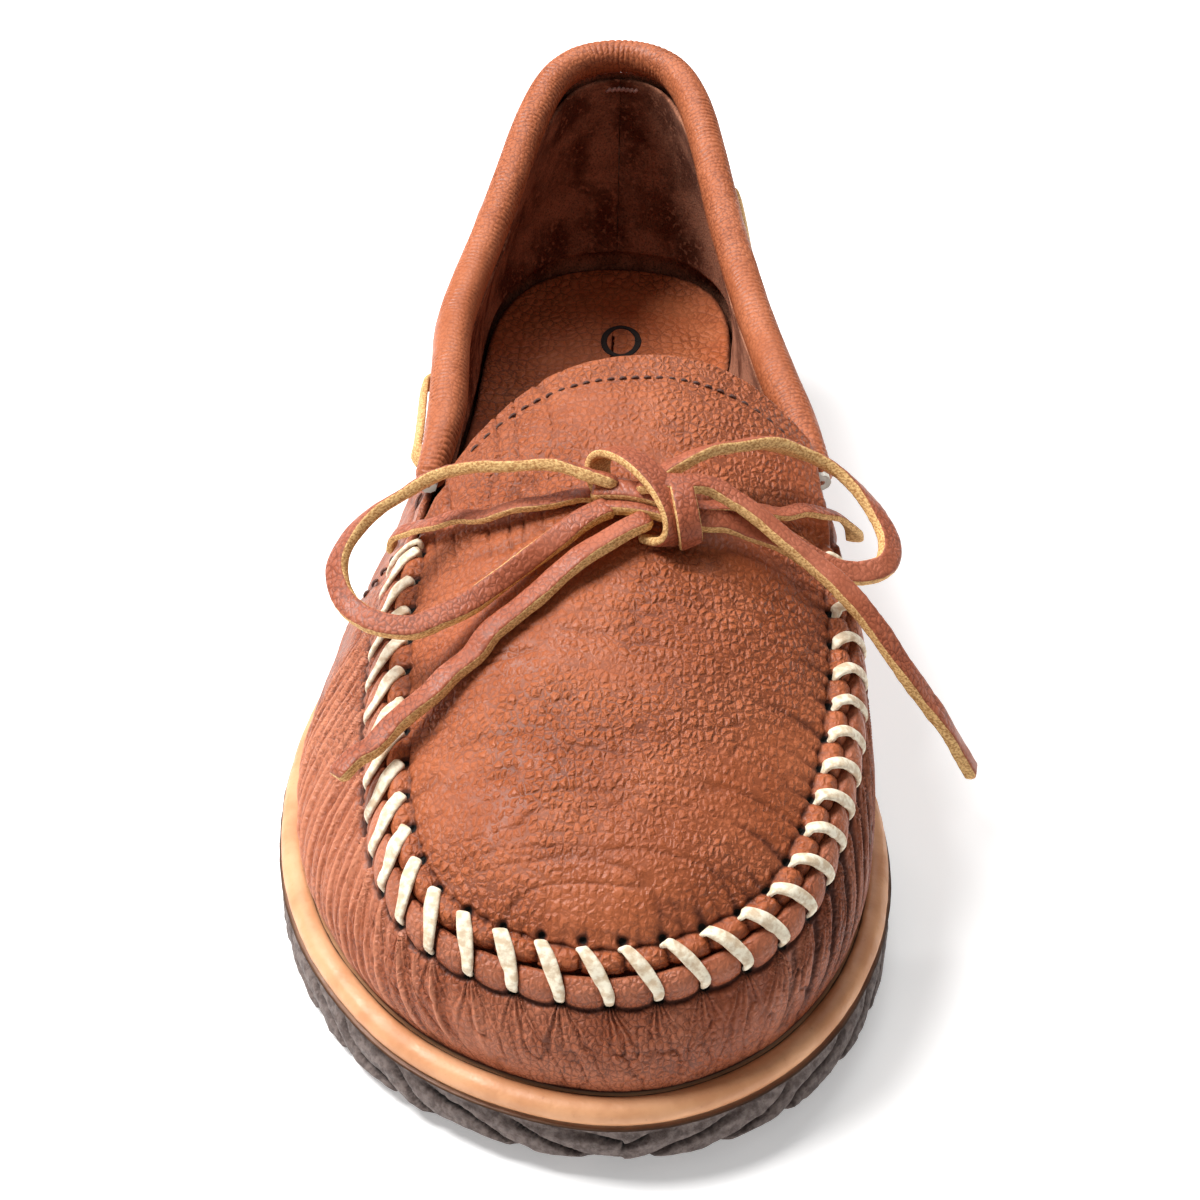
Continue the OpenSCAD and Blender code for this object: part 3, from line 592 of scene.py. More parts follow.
LEAD_LATERAL = [(-40, -35, 51), (-39, -36, 55), (-35, -38, 58), (-31, -41, 61), (-26, -43, 64),
    (-21, -46, 66), (-15, -47, 69), (-9, -47, 70), (-3, -46, 71), (2, -46, 71), (5, -47, 72)]
LEAD_MEDIAL = [(50, -31, 52), (49, -33, 56), (46, -35, 60), (43, -37, 62), (39, -39, 64),
    (35, -42, 65), (30, -44, 67), (25, -46, 69), (20, -48, 70), (15, -49, 71), (12, -50, 71),
    (11, -50, 72)]
SIDES = 16
# Round the lace's section the grain side takes material 0 and the cut edges and flesh side 1
GRAIN = np.array([0 if 1 <= k <= 5 else 1 for k in range(SIDES)])


def lace(name, route, up_of, node, w=LACE_W, t=LACE_T, seed=1.0, body="shoe"):
    path = resample(route, 0.9)
    s = np.arange(len(path)) * 0.9
    ups = unit(up_of(path) + 0.14 * np.stack([noise(s / 9, 0, seed), noise(s / 11, 3, seed), 0 * s], -1))
    wide = w * (1 + 0.05 * noise(s / 5, 7, seed))
    thick = t * (1 + 0.08 * noise(s / 3, 9, seed))
    part = band(path, ups, wide, thick, SIDES, 0.42, kinds=GRAIN)
    points = part[0]
    fray = 0.07 * noise(points[:, 0] * 1.7, points[:, 1] * 1.7 + points[:, 2], seed)
    points = points + fray[:, None] * np.array([0.5, 0.5, 1.0])
    made = build(name, [(points, *part[1:])], [LACE_SKIN, LACE_EDGE], body, node)
    return made, path


def loop_up(middle):
    middle = np.array(middle, float)

    def up_of(p):
        q = p - middle
        return unit(np.stack([q[:, 0], q[:, 1], 1.3 * np.linalg.norm(q, axis=1)], -1))
    return up_of


def flat_up(p):
    return np.tile(UP, (len(p), 1))


KNOT = np.array([8, -50.5, 73.2])


def ring_path(centre, axis_a, axis_b, start, stop, n=44):
    a = np.radians(np.linspace(start, stop, n))[:, None]
    return np.array(centre) + np.array(axis_a) * np.cos(a) + np.array(axis_b) * np.sin(a), a


def knot():
    parts = []
    # the strap that wraps over the bundle, from behind on the outer side to the front on the inner side
    path, a = ring_path(KNOT + (-0.4, 0.6, 0.2), (7.4, -8.6, -1.6), (0.8, 1.8, 5.6), -70, 250)
    up = unit(path - (KNOT + (-0.4, 0.6, -2.0)))
    parts.append(band(path, up, 6.2, 1.8, SIDES, 0.42, kinds=GRAIN))
    # the narrow strap that comes down beside it
    path, a = ring_path(KNOT + (8.4, -3.0, -0.6), (1.0, -6.2, -0.8), (-0.6, 0.4, 4.6), -60, 240)
    up = unit(path - (KNOT + (7.4, -3.0, -2.2)))
    parts.append(band(path, up, 4.4, 1.6, SIDES, 0.42, kinds=GRAIN))
    # the bundle inside
    for k, (y, z) in enumerate([(1.6, -0.6), (-1.7, -0.9), (0.2, 1.2)]):
        x = np.linspace(-8.5, 8.5, 24)[:, None]
        path = KNOT + np.hstack([x, y - 0.28 * x + 0.3 * np.sin(x / 3 + k), z - 0.012 * x**2])
        up = unit(UP + np.array([0, 0.4 - 0.4 * k, 0])) + 0 * path
        parts.append(band(path, up, 3.9, 2.2, SIDES, 0.5, kinds=GRAIN))
    return build("knot_wraps", parts, [LACE_SKIN, LACE_EDGE], "shoe", "lace_knot")


knot_piece = knot()
for name, route, up_of, node, length, far, seed in (
        ("loop_outer", LOOP_LATERAL, loop_up((-22, -60, 68)), "lace_loop_lateral", 0.130, "object", 1),
        ("loop_inner", LOOP_MEDIAL, loop_up((38, -44, 68)), "lace_loop_medial", 0.109, "object", 2),
        ("tail_outer", TAIL_LATERAL, flat_up, "lace_tail_lateral", 0.075, "bare", 3),
        ("tail_inner", TAIL_MEDIAL, flat_up, "lace_tail_medial", 0.086, "bare", 4)):
    piece, path = lace(name, route, up_of, node, seed=seed)
lace("lead_outer", LEAD_LATERAL, flat_up, "lace_lead_lateral", LACE_W * 0.8, LACE_T * 0.6, 5)
lace("lead_inner", LEAD_MEDIAL, flat_up, "lace_lead_medial", LACE_W * 0.8, LACE_T * 0.6, 6)

# ---- sole ----
ROUND = 1000
TREAD_PITCH, LUG_PITCH, LUG_RISE = 14, 14, 6.0
ring_u = np.arange(ROUND) * COUNT / ROUND
ring_edge, ring_out = sole_edge(ring_u), out_dir(ring_u)[:, :2]
steps = np.linalg.norm(np.roll(ring_edge, -1, 0) - ring_edge, axis=1)
along = np.concatenate([[0], np.cumsum(steps)[:-1]])
from_toe = np.abs(along - np.interp(TOE_U, ring_u, along))
inner_half = ring_u < TOE_U


def mid_x(y):
    a, b = ring_edge[inner_half], ring_edge[~inner_half]
    a, b = a[np.argsort(a[:, 1])], b[np.argsort(b[:, 1])]
    return (np.interp(y, a[:, 1], a[:, 0]) + np.interp(y, b[:, 1], b[:, 0])) / 2


SPINE = np.stack([mid_x(ring_edge[:, 1] * 0.8), np.clip(ring_edge[:, 1], -108, 112)], -1)


def floor_gap(y):
    return SPRING * np.clip((BALL_Y - y) / (BALL_Y - TIP_Y), 0, 1.1) ** 2


def tread(x, y):
    """1 in the grooves of the tread and 0 on its bars."""
    w = np.abs(x) + 1.6 * noise(x / 16, y / 16, 5)
    phase = (y + 150 + 9 - (w - 4) * 31 / 76) % TREAD_PITCH
    bar = ease((2.9 - np.abs(phase - 2.25)) / 0.9)
    return bar * ease((w - 3.5) / 1.5)


def ring_piece(name, rows, tones, material, node):
    grid, tone = np.stack(rows), np.stack(tones)
    n, m = grid.shape[:2]
    ids = np.arange(n * m).reshape(n, m)
    ids = np.hstack([ids, ids[:, :1]])
    centre = np.stack([grid[0].mean(0), grid[-1].mean(0)])
    ends = [[n * m, (k + 1) % m, k] for k in range(m)]
    ends += [[n * m + 1, (n - 1) * m + k, (n - 1) * m + (k + 1) % m] for k in range(m)]
    points = np.concatenate([grid.reshape(-1, 3), centre])
    faces = [list(q) for q in quads(ids)] + ends
    tone = np.concatenate([tone.ravel(), [0, 0]])
    return build(name, [(points, faces, 0, tone)], [material], "shoe", node)


rows, tones = [], []
for inset_by, z in ((30, 10.9), (12, 10.9), (2.2, 10.95), (1.1, 10.9), (0.55, 10.7)):
    rows.append(np.hstack([ring_edge - ring_out * inset_by, np.full((ROUND, 1), z)]))
    # painted shade on the outsole's top, under the band
    tones.append(np.full(ROUND, 0.5 if z < 10.95 else 0.9))
gap_here = floor_gap(ring_edge[:, 1])
wobble = noise(from_toe / 9, inner_half * 5.0, 8)
for z in np.linspace(10.4, 0, 26):
    # long lens-shaped lugs with grooves between, rising from the toe to the heel
    phase = from_toe / LUG_PITCH - z / LUG_RISE + 0.25 * wobble + 0.1 * noise(from_toe / 5, z / 3, 3)
    f = phase - np.floor(phase)
    cut = np.exp(-((phase - np.round(phase)) / 0.1) ** 2)
    lens = np.sqrt(np.clip(1 - (2 * f - 1) ** 2, 0, 1))
    low = ease((9.4 - z) / 3.0)
    lift = gap_here + (1 - gap_here / OUTSOLE_H) * z
    notch = ease((2.6 - z) / 2.6) * (1.6 * cut + 0.4 * (1 + noise(from_toe / 6, 2, 9)))
    reach = (1.0 * lens - 1.7 * cut) * (0.25 + 0.75 * low) - 0.9
    reach = reach + 0.25 * rough(from_toe / 1.7, z / 1.7, 4) - 1.6 * ease((1.2 - z) / 1.2) ** 2
    rows.append(np.hstack([ring_edge + ring_out * reach[:, None], (lift + notch)[:, None]]))
    # painted shade in the grooves between the lugs, stronger low down
    tones.append(1.1 * ease((cut * (0.15 + 0.85 * low) - 0.2) / 0.5))
start = rows[-1]
for r in np.linspace(0.015, 0.97, 54):
    xy = start[:, :2] * (1 - r) + SPINE * r
    g = tread(xy[:, 0], xy[:, 1]) * ease(r / 0.12)
    z = floor_gap(xy[:, 1]) + (start[:, 2] - gap_here) * ease(1 - r / 0.05)
    rows.append(np.hstack([xy, np.maximum(z, floor_gap(xy[:, 1]) + TREAD * g)[:, None]]))
    # painted shade in the tread's grooves
    tones.append(0.6 * g)
ring_piece("outsole_lugs", rows, tones, RUBBER, "outsole")

rows, tones = [], []
# The band's section: how far inside the sole's edge, and how high
BAND = [(30, 11.1), (2.2, 11.1), (1.15, 11.35), (0.5, 12.1), (0.35, 13), (0.65, 13.9), (1.4, 14.7),
        (2.6, 15.1), (3.8, 15.05), (4.7, 14.6), (6.4, 14.7), (30, 14.9)]
profile = through(BAND, np.linspace(0, 1, 34))
for k, (inset_by, z) in enumerate(profile):
    wave = 0.16 * noise(along / 13, k / 9, 11) + 0.06 * noise(along / 2.5, k / 5, 12)
    edge = ring_edge - ring_out * (inset_by - wave)[:, None]
    rows.append(np.hstack([edge, (z + 0.6 * wave)[:, None]]))
    # painted shade where the band turns in under the upper and at its foot on the outsole
    tones.append(np.full(ROUND, ease((inset_by - 4.0) / 0.7) + 0.8 * ease((11.6 - z) / 0.5)))
ring_piece("midsole_band", rows, tones, TAN, "midsole")

SOCK_Z, SOCK_H, SOCK_IN = 20.4, 1.2, WELT_W + 3.4


def sock_top(x, y, inset_by):
    return SOCK_Z + SOCK_H + 1.0 * ease(1 - (inset_by - SOCK_IN) / 7) + 0.12 * rough(x / 9, y / 9, 21)


rows, tones = [], []
for r, z in [(1, 0), (0.5, 0), (0.02, 0)] + [(r, 1) for r in np.linspace(0, 0.96, 60)]:
    xy = (ring_edge - ring_out * SOCK_IN) * (1 - r) + SPINE * r
    away = np.linalg.norm(xy - ring_edge, axis=1)
    height = sock_top(xy[:, 0], xy[:, 1], away) if z else np.full(ROUND, SOCK_Z)
    rows.append(np.hstack([xy, height[:, None]]))
    # painted shade round the footbed's edge, where it meets the lining
    tones.append(np.full(ROUND, 0.5 * ease(1 - r / 0.05)))
ring_piece("sock", rows, tones, SOCK, "sock_lining")
MARK_AT, MARK_R = (2, 103), (4.2, 7.2)
a = np.radians(np.linspace(0, 360, 73))
ring = np.stack([MARK_AT[0] + MARK_R[0] * np.cos(a), MARK_AT[1] + MARK_R[1] * np.sin(a), 0 * a], -1)
ring[:, 2] = sock_top(ring[:, 0], ring[:, 1], 30) + 0.02
wide = 1.6 * (1 + 0.1 * noise(a * 3, 0, 2))
build("ring_mark", [band(ring, np.tile(UP, (len(a), 1)), wide, 0.3, 8, 0.5, False)],
      [INK], "shoe", "sock_mark")

# ---- the wall, gathered into the toe seam ----
LEAN = 0.3
SEAM_U = np.linspace(SEAM[-1], SEAM[1], 900)
SEAM_S = np.concatenate([[0], np.cumsum(np.linalg.norm(np.diff(top_edge(SEAM_U), axis=0), axis=1))])


def seam_place(share):
    """Place on the stations at a share of the seam's length, from its outer end."""
    return np.interp(share, SEAM_S / SEAM_S[-1], SEAM_U)


def stitch_phase(u):
    """Whole numbers fall on the middles of the stitches along the toe seam."""
    return np.interp(u, SEAM_U[::-1], SEAM_S[::-1]) / SEAM_S[-1] * WHIPS - 0.5


def near_whole(x):
    return x - np.round(x)


def gathered(u, v):
    """Relief of the vamp's wall, in millimetres, and its painted shade and highlight: lobes, with creases
    below them.
    """
    top_u = TOE_U + (u - TOE_U) / (1 - 0.2 * (1 - v))
    sway = 0.07 * noise(u * 2.2, v * 3, 31) * ease((0.8 - v) / 0.3)
    phase = stitch_phase(top_u) - LEAN + sway
    local = near_whole(phase)
    index = np.round(phase)
    seam = ease((u - SEAM[1] + 0.15) / 0.3) * ease((SEAM[-1] + 0.15 - u) / 0.3)
    left, right = ease((u - 14.8) / 1.6), ease((13.0 - u) / 1.6)
    # a lobe stands between every two holes, over a curved crease
    lobe = np.abs(np.sin(math.pi * phase)) ** 0.6
    q = (v - (0.85 - 0.05 * lobe)) / (0.15 + 0.05 * lobe)
    dome = np.sin(math.pi * np.clip(q * 0.8, 0, 1))
    crease = np.exp(-((q + 0.04) / 0.1) ** 2)
    pinch = (1 - lobe) ** 2 * ease((v - 0.8) / 0.08)
    relief = 1.5 * np.sqrt(lobe) * dome - 0.7 * lobe * crease - 0.7 * pinch
    # painted shade in the crease under each lobe and where the lobes pinch, painted highlight on the lobes'
    # domes
    shade = 0.75 * np.sqrt(lobe) * crease + 0.6 * pinch - 0.35 * lobe * dome
    # creases fan out below every hole
    drop = np.maximum(0.84 - v, 0)
    turn = local / (0.07 + 1.3 * drop) + 0.1 * noise(index * 3.7, v * 9, 33)
    ray = np.cos(2 * math.pi * turn / 0.5)
    fan = np.exp(-drop / 0.2) * ease(drop / 0.04) * ease((1.25 - np.abs(turn)) / 0.3)
    size = 0.7 + 0.5 * lattice(index, np.round(turn / 0.5), 7)
    relief = relief + fan * size * 0.7 * ray
    # painted shade in the fan's troughs, painted highlight on its crests
    shade = shade + fan * size * (0.6 * ease((-ray - 0.1) / 0.8) - 0.7 * ease((ray - 0.2) / 0.8))
    # fine creases cover the wall below
    below = ease((0.78 - v) / 0.16) * ease(v / 0.08)
    thread = np.abs(noise(phase * 3.4, v * 4.2 + 0.3 * phase, 34))
    thin = np.abs(noise(phase * 8.0, v * 6.0, 36))
    cut, cut_thin = ease((0.2 - thread) / 0.2), ease((0.16 - thin) / 0.16)
    relief = relief - below * (0.3 * cut + 0.12 * cut_thin)
    # painted shade in the fine creases, a slight painted highlight between them
    shade = shade + below * (0.3 * cut + 0.12 * cut_thin - 0.1)
    # long ridges run down from the stitches on the outer side, deep pleats on the inner side
    for offset, much in ((0.0, 1.0), (0.5, 0.55)):
        ridge = np.exp(-(near_whole(phase - offset) / 0.1) ** 2)
        ridge = ridge * ease((0.86 - v) / 0.06) * ease((v - 0.03) / 0.2)
        ridge = ridge * much * left * (0.75 + 0.4 * noise(index + offset * 5, v * 3, 38))
        # painted highlight along the long ridges
        relief, shade = relief + 0.75 * ridge, shade - 1.0 * ridge
    deep = np.exp(-((np.abs(local) - 0.5) / 0.17) ** 2)
    deep = deep * ease((0.84 - v) / 0.1) * ease((v - 0.03) / 0.2) * right
    # painted shade in the deep pleats, and over the whole lower wall on the inner side, the side turned away
    # from the key lamp
    relief, shade = relief - 1.1 * deep, shade + 0.8 * deep + 0.2 * right * below
    return seam * relief + 0.3 * rough(u * 2.4, v * 3.2, 35), seam * shade


def pinholes(points, centres, radius, depth):
    """How far points go in, and how dark they get as painted shade in the hole, near places where a lace goes
    through.
    """
    near = np.full(points.shape[:-1], 1e9)
    for c in centres:
        near = np.minimum(near, np.linalg.norm(points - c, axis=-1))
    mask = np.exp(-(near / radius) ** 2)
    return -depth * mask, 1.6 * mask


WHIP_HOLE, HOLE_V, ROW_V = 1.0, 0.835, 0.84
VAMP_U = 8.7, 20.3
share = (np.arange(WHIPS) + 0.5) / WHIPS
wall_u, plug_u = seam_place(share + LEAN / WHIPS), seam_place(share - LEAN / WHIPS)
wall_holes = wall(wall_u, np.full(WHIPS, HOLE_V))
plug_holes = top_edge(plug_u) - out_dir(plug_u) * (SEAM_GAP + WHIP_HOLE + 0.3)
slots = np.array([LEAD_LATERAL[0], LEAD_MEDIAL[0]], float)

u, v = np.meshgrid(np.linspace(*VAMP_U, 1000), np.linspace(0, 0.99, 92))
base, normal = wall(u, v), wall_normal(u, v)
relief, shade = gathered(u, v)
dent, dark = pinholes(base, wall_holes, 0.95, 0.9)
slot_dent, slot_dark = pinholes(base, slots, 2.4, 1.0)
relief = (relief + dent + slot_dent) * ease(v / 0.04)
# painted shade: the whip holes and the lace slots go near black, and the wall goes near black where it meets
# the band
shade = shade + dark + slot_dark + 0.9 * ease((0.05 - v) / 0.05)
skin = sheet(base + normal * relief[..., None], base - normal * LEATHER_T, shade, 8, 0.35)
build("wall_leather", [skin], [WALL, SUEDE], "shoe", "vamp_wall")

# ---- quarters ----
RUNS = {1: (8.2, 1.2), -1: (20.8, COUNT - 1.2)}
LACE_V, RUN_OUT, RUN_IN = 0.76, -2.6, 2.5
OUTSIDE = [(2.8, 4.0), (5.7, 6.9), (21.7, 22.95)]
SIDE_SEAM = {1: 8.66, -1: 20.34}


def run_depth(u):
    """Depth of the lace at place u: outside at RUN_OUT, between leather and lining at RUN_IN."""
    out = np.max([ease((u - a) / 0.3 + 0.5) * ease((b - u) / 0.3 + 0.5) for a, b in OUTSIDE], axis=0)
    return RUN_IN + out * (RUN_OUT - RUN_IN)


for side, name, node, u0, u1 in ((1, "quarter_inner", "quarter_medial", 0.0, SIDE_SEAM[1]),
                                 (-1, "quarter_outer", "quarter_lateral", SIDE_SEAM[-1], COUNT)):
    u, v = np.meshgrid(np.linspace(u0, u1, 440), np.linspace(0, 0.93, 80))
    base, normal = wall(u, v), wall_normal(u, v)
    front = ease(1 - np.abs(u - SIDE_SEAM[side]) / 2.2)
    fold = rough(u * 1.3 + 0.6 * v, v * 4, 41 + side)
    crease = np.abs(noise(u * 3.2 + 2 * v, v * 2.2, 43 + side))
    cut = ease((0.13 - crease) / 0.13)
    relief = 0.45 * fold + front * 0.5 * rough(u * 5, v * 2, 45) - 0.5 * cut * (0.3 + front)
    # painted shade in the creases, more towards the front, and painted highlight on the folds' tops
    shade = 0.35 * cut * (0.3 + front) - 0.2 * ease((fold - 0.2) / 0.4)
    row = np.exp(-((v - ROW_V) / 0.022) ** 2)
    relief = relief - 0.45 * row
    slit_u = np.array([q for pair in OUTSIDE for q in pair])
    dent, dark = pinholes(base, wall(slit_u, np.full(len(slit_u), LACE_V)), 2.2, 0.9)
    relief = (relief + dent) * ease(v / 0.04)
    # painted shade in the stitch row's groove, in the slits where the lace goes in and out, and near black
    # where the quarter meets the band
    shade = shade + 0.3 * row + dark + 0.9 * ease((0.05 - v) / 0.05)
    build(name, [sheet(base + normal * relief[..., None], base - normal * LEATHER_T, shade, 6)],
          [WALL, SUEDE], "shoe", node)
    lining_u = (0.02, 8.4) if side > 0 else (20.6, COUNT - 0.02)
    u, v = np.meshgrid(np.linspace(*lining_u, 300), np.linspace(0.17, 0.94, 60))
    normal = wall_normal(u, v)
    heel = np.minimum(u, COUNT - u)
    soft = 0.5 * rough(u * 1.1, v * 3, 51 + side) - 0.6 * ease(1 - heel / 0.14)
    inside = wall(u, v) - normal * (LINING_AT + LINING_T + soft)[..., None]
    build("suede_inner" if side > 0 else "suede_outer",
          [sheet(wall(u, v) - normal * LINING_AT, inside, 0.0, 4)],
          [SUEDE, SUEDE], "shoe", "lining_medial" if side > 0 else "lining_lateral")

STRIP_U, GROOVE_U = 0.42, 0.33
u, v = np.meshgrid(np.linspace(-STRIP_U, STRIP_U, 40), np.linspace(0.02, 0.84, 110))
groove = np.exp(-((np.abs(u) - GROOVE_U) / 0.04) ** 2)
bulge = 0.25 * ease(1 - np.abs(u) / STRIP_U) + 0.15 * rough(u * 6, v * 9, 61) - 0.35 * groove
outer = wall(u, v) + wall_normal(u, v) * (1.9 + bulge)[..., None]
# painted shade in the grooves along the strip's two sides
build("back_strip", [sheet(outer, wall_in(u, v, np.full(u.shape, -0.25)), 0.3 * groove, 5)],
      [WALL, WALL], "shoe", "heel_strip")

# ---- collar ----
# Rings along the roll, several to a wrinkle, and points round each
n, m, WRINKLE = 2200, 30, 1.45
x = np.linspace(0, 1, n)
u = COLLAR[-1] + (COUNT + COLLAR[1] - COLLAR[-1]) * x
d = unit(top_edge(u + 0.05) - top_edge(u - 0.05))
side = unit(np.cross(d, UP))
up = np.cross(side, d)
line = top_edge(u)
s = np.concatenate([[0], np.cumsum(np.linalg.norm(np.diff(line, axis=0), axis=1))])
ends = np.minimum(s, s[-1] - s)
taper = (0.75 + 0.25 * ease(ends / 28)) * np.sqrt(np.clip(ends / 2.5, 0.05, 1))
angle = np.arange(m) * 2 * math.pi / m
S, A = np.meshgrid(s, angle, indexing="ij")
drift = 0.9 * noise(S / 7, A * 1.2, 71) + 0.35 * np.sin(A)
wave = (S + 1.3 * drift) / WRINKLE
wrinkle = np.abs(np.sin(math.pi * wave)) ** 0.6
strong = ease((noise(S / 9, A * 0.9, 72) + 0.75) / 1.1)
radius = COLLAR_R * taper[:, None] + 0.13 * rough(S / 11, A, 73) - 0.34 * strong * (1 - wrinkle)
spoke = side[:, None] * np.cos(A)[..., None] + up[:, None] * np.sin(A)[..., None]
grid = line[:, None] + radius[..., None] * spoke
# painted shade in the wrinkles' troughs, and a slight painted highlight over the rest of the roll
shade = 0.55 * strong * ease((0.5 - wrinkle) / 0.5) - 0.1
build("collar_roll", [rings(grid, shade)], [COLLAR_SKIN], "shoe", "collar_binding")

# ---- plug and tongue: one pebbled skin ----
cols, rows_n = 240, 330
s, t = np.meshgrid(np.linspace(-1, 1, cols), np.linspace(0.0, 1, rows_n))
base, normal = plug_top(s, t), plug_normal(s, t)
edge_u = np.linspace(SEAM[1] - 0.1, SEAM[-1] + 0.1, 900)
edge_p = top_edge(edge_u) - out_dir(edge_u) * SEAM_GAP + 0.8 * UP

flat = base.reshape(-1, 3)
distance, nearest = np.empty(len(flat)), np.empty(len(flat), int)
for k in range(0, len(flat), 6000):
    d2 = ((flat[k:k + 6000, None] - edge_p[None]) ** 2).sum(-1)
    nearest[k:k + 6000] = d2.argmin(1)
    distance[k:k + 6000] = np.sqrt(d2.min(1))
distance, at_u = distance.reshape(s.shape), edge_u[nearest].reshape(s.shape)
phase = stitch_phase(at_u) + LEAN
seam = ease((0.79 - t) / 0.04)
base = base + out_dir(at_u) * (1.1 * np.exp(-(distance / 2.2) ** 2) * seam)[..., None]
lobe = np.abs(np.sin(math.pi * phase)) ** 0.6
q = distance / (2.0 + 0.8 * lobe)
dome = np.sin(math.pi * np.clip(0.2 + 0.8 * q, 0, 1))
crease = np.exp(-((q - 1.05) / 0.13) ** 2)
pinch = (1 - lobe) ** 2 * ease((2.4 - distance) / 1.2)
relief = seam * (1.1 * np.sqrt(lobe) * dome - 0.5 * np.sqrt(lobe) * crease - 0.6 * pinch)
# painted shade in the crease round each lobe and at the pinches, painted highlight on the lobes' domes
shade = seam * (0.35 * np.sqrt(lobe) * crease + 0.6 * pinch - 0.3 * lobe * dome)
# creases that run in from the holes, and softer ones between, with painted shade in them
drift = noise(flat[:, 0].reshape(s.shape) / 3, flat[:, 1].reshape(s.shape) / 3, 81)
local = near_whole(phase + 0.12 * drift)
x, y = base[..., 0], base[..., 1]
inner = ease((x - 4) / 18)
reach_in = np.exp(-np.maximum(distance - 2, 0) / (2.5 + 5 * inner)) * ease((distance - 1.4) / 1.2) * seam
line_at = np.exp(-(local / 0.1) ** 2) + 0.6 * np.exp(-((np.abs(local) - 0.5) / 0.09) ** 2)
relief = relief - 0.5 * reach_in * line_at
shade = shade + 0.55 * reach_in * line_at
holes_up = []
for c in plug_holes:
    k = ((base[..., :2] - c[:2]) ** 2).sum(-1).argmin()
    holes_up.append(base.reshape(-1, 3)[k])
dent, dark = pinholes(base, holes_up, 0.8, 1.0)
# painted shade: the holes go near black
relief, shade = relief + dent, shade + dark
# flexing across the middle, lengthwise folds at the outer rear, with painted shade in the lengthwise and the
# cross folds
relief = relief + 0.42 * rough(x / 9 + y / 26, y / 7 - x / 20, 83) * ease(distance / 9)
lengthwise = ease((-x - 2) / 14) * ease((y + 62) / 16)
fold = np.abs(noise(x / 3.4 + y / 30, y / 24, 85))
relief = relief - 0.55 * lengthwise * ease((0.2 - fold) / 0.2)
shade = shade + 0.3 * lengthwise * ease((0.2 - fold) / 0.2)
across_fold = np.abs(noise(x / 17 + 3, y / 3.1 + x / 40, 87))
relief = relief - 0.3 * ease((0.16 - across_fold) / 0.16) * ease(distance / 8) * ease((-30 - y) / 10)
shade = shade + 0.2 * ease((0.16 - across_fold) / 0.16) * ease(distance / 8) * ease((-30 - y) / 10)
top = base + normal * relief[..., None]
plug_places = top.reshape(-1, 3)
plug = build("plug_leather", [sheet(top, base - normal * LEATHER_T, shade, 8, 0.9)],
             [UPPER, SUEDE], None, ("plug", "tongue"))
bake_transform(plug)


def t_at_y(s, y):
    low, high = np.full(np.shape(s), 0.3), np.ones(np.shape(s))
    for _ in range(16):
        middle = (low + high) / 2
        before = plug_top(s, middle)[..., 1] < y
        low, high = np.where(before, middle, low), np.where(before, high, middle)
    return (low + high) / 2


s = np.linspace(-0.97, 0.97, 120)
begin = t_at_y(s, HINGE_Y)
t = begin[None] + (0.97 - begin)[None] * np.linspace(0, 1, 50)[:, None]
s = np.broadcast_to(s, t.shape)
base, normal = plug_top(s, t), plug_normal(s, t)
deep = LEATHER_T + 0.1 + LINING_T + 0.15 * rough(s * 9, t * 20, 91)
inside = base - normal * deep[..., None]
under = build("tongue_suede", [sheet(base - normal * (LEATHER_T + 0.1), inside, 0.0, 4)],
              [SUEDE, SUEDE], None, "tongue_lining")
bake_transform(under)

# ---- small stitches ----


def wall_pair(u0, v0, u1, v1, depth):
    a = wall_in(np.array([u0, u1]), np.array([v0, v1]), np.array([depth, depth]))
    return a[0], a[1], wall_normal(u0, v0)


seams = [wall_pair(q, 0.08 + 0.76 * i / 9, q, 0.13 + 0.76 * i / 9, -0.15)
         for q in (8.52, 20.48) for i in range(9)]
build("seam_threads", threads(seams), [BROWN_THREAD], "shoe", "side_seam_stitches")
strip = [wall_pair(q, 0.06 + 0.74 * i / 11, q, 0.105 + 0.74 * i / 11, -1.65)
         for q in (-0.34, 0.34) for i in range(11)]
build("strip_threads", threads(strip), [BROWN_THREAD], "shoe", "heel_strip_stitches")
COLLAR_STITCHES, TONGUE_STITCHES, TONGUE_ROW = 52, 26, 0.945
span = COUNT + COLLAR[1] - COLLAR[-1]
pairs = []
for i in range(COLLAR_STITCHES):
    q = COLLAR[-1] + span * (i + 0.2) / COLLAR_STITCHES
    q_end = q + 0.6 * span / COLLAR_STITCHES
    pairs.append(wall_pair(q, ROW_V, q_end, ROW_V, -1.7 if abs(q - COUNT) < 0.5 else 0.1))
build("collar_threads", threads(pairs), [BROWN_THREAD], "shoe", "collar_stitches")
pairs = []
for i in range(-3, 4):
    a, b, up = wall_pair(i * 0.11, 0.9, i * 0.11 + 0.1, 0.915, LINING_AT + LINING_T)
    pairs.append((a, b, -up))
build("bartack_threads", threads(pairs, 0.9), [PALE_THREAD], "shoe", "heel_bartack")
q = -0.86 + 1.72 * np.arange(TONGUE_STITCHES) / TONGUE_STITCHES
a, b = plug_top(q, TONGUE_ROW), plug_top(q + 1 / TONGUE_STITCHES, TONGUE_ROW)
up = plug_normal(q, np.full(TONGUE_STITCHES, TONGUE_ROW))
build("tongue_threads", threads(list(zip(a, b, up)), 0.7), [BROWN_THREAD],
      "tongue", "tongue_stitches")

# ---- whip stitches ----
whips = []


def on_plug(u, back, lift):
    """A place over the plug, back from the seam's edge at u."""
    at = top_edge(u) - out_dir(u) * (SEAM_GAP + back)
    k = ((plug_places[:, :2] - at[:2]) ** 2).sum(-1).argmin()
    return np.array([at[0], at[1], plug_places[k, 2] + lift])


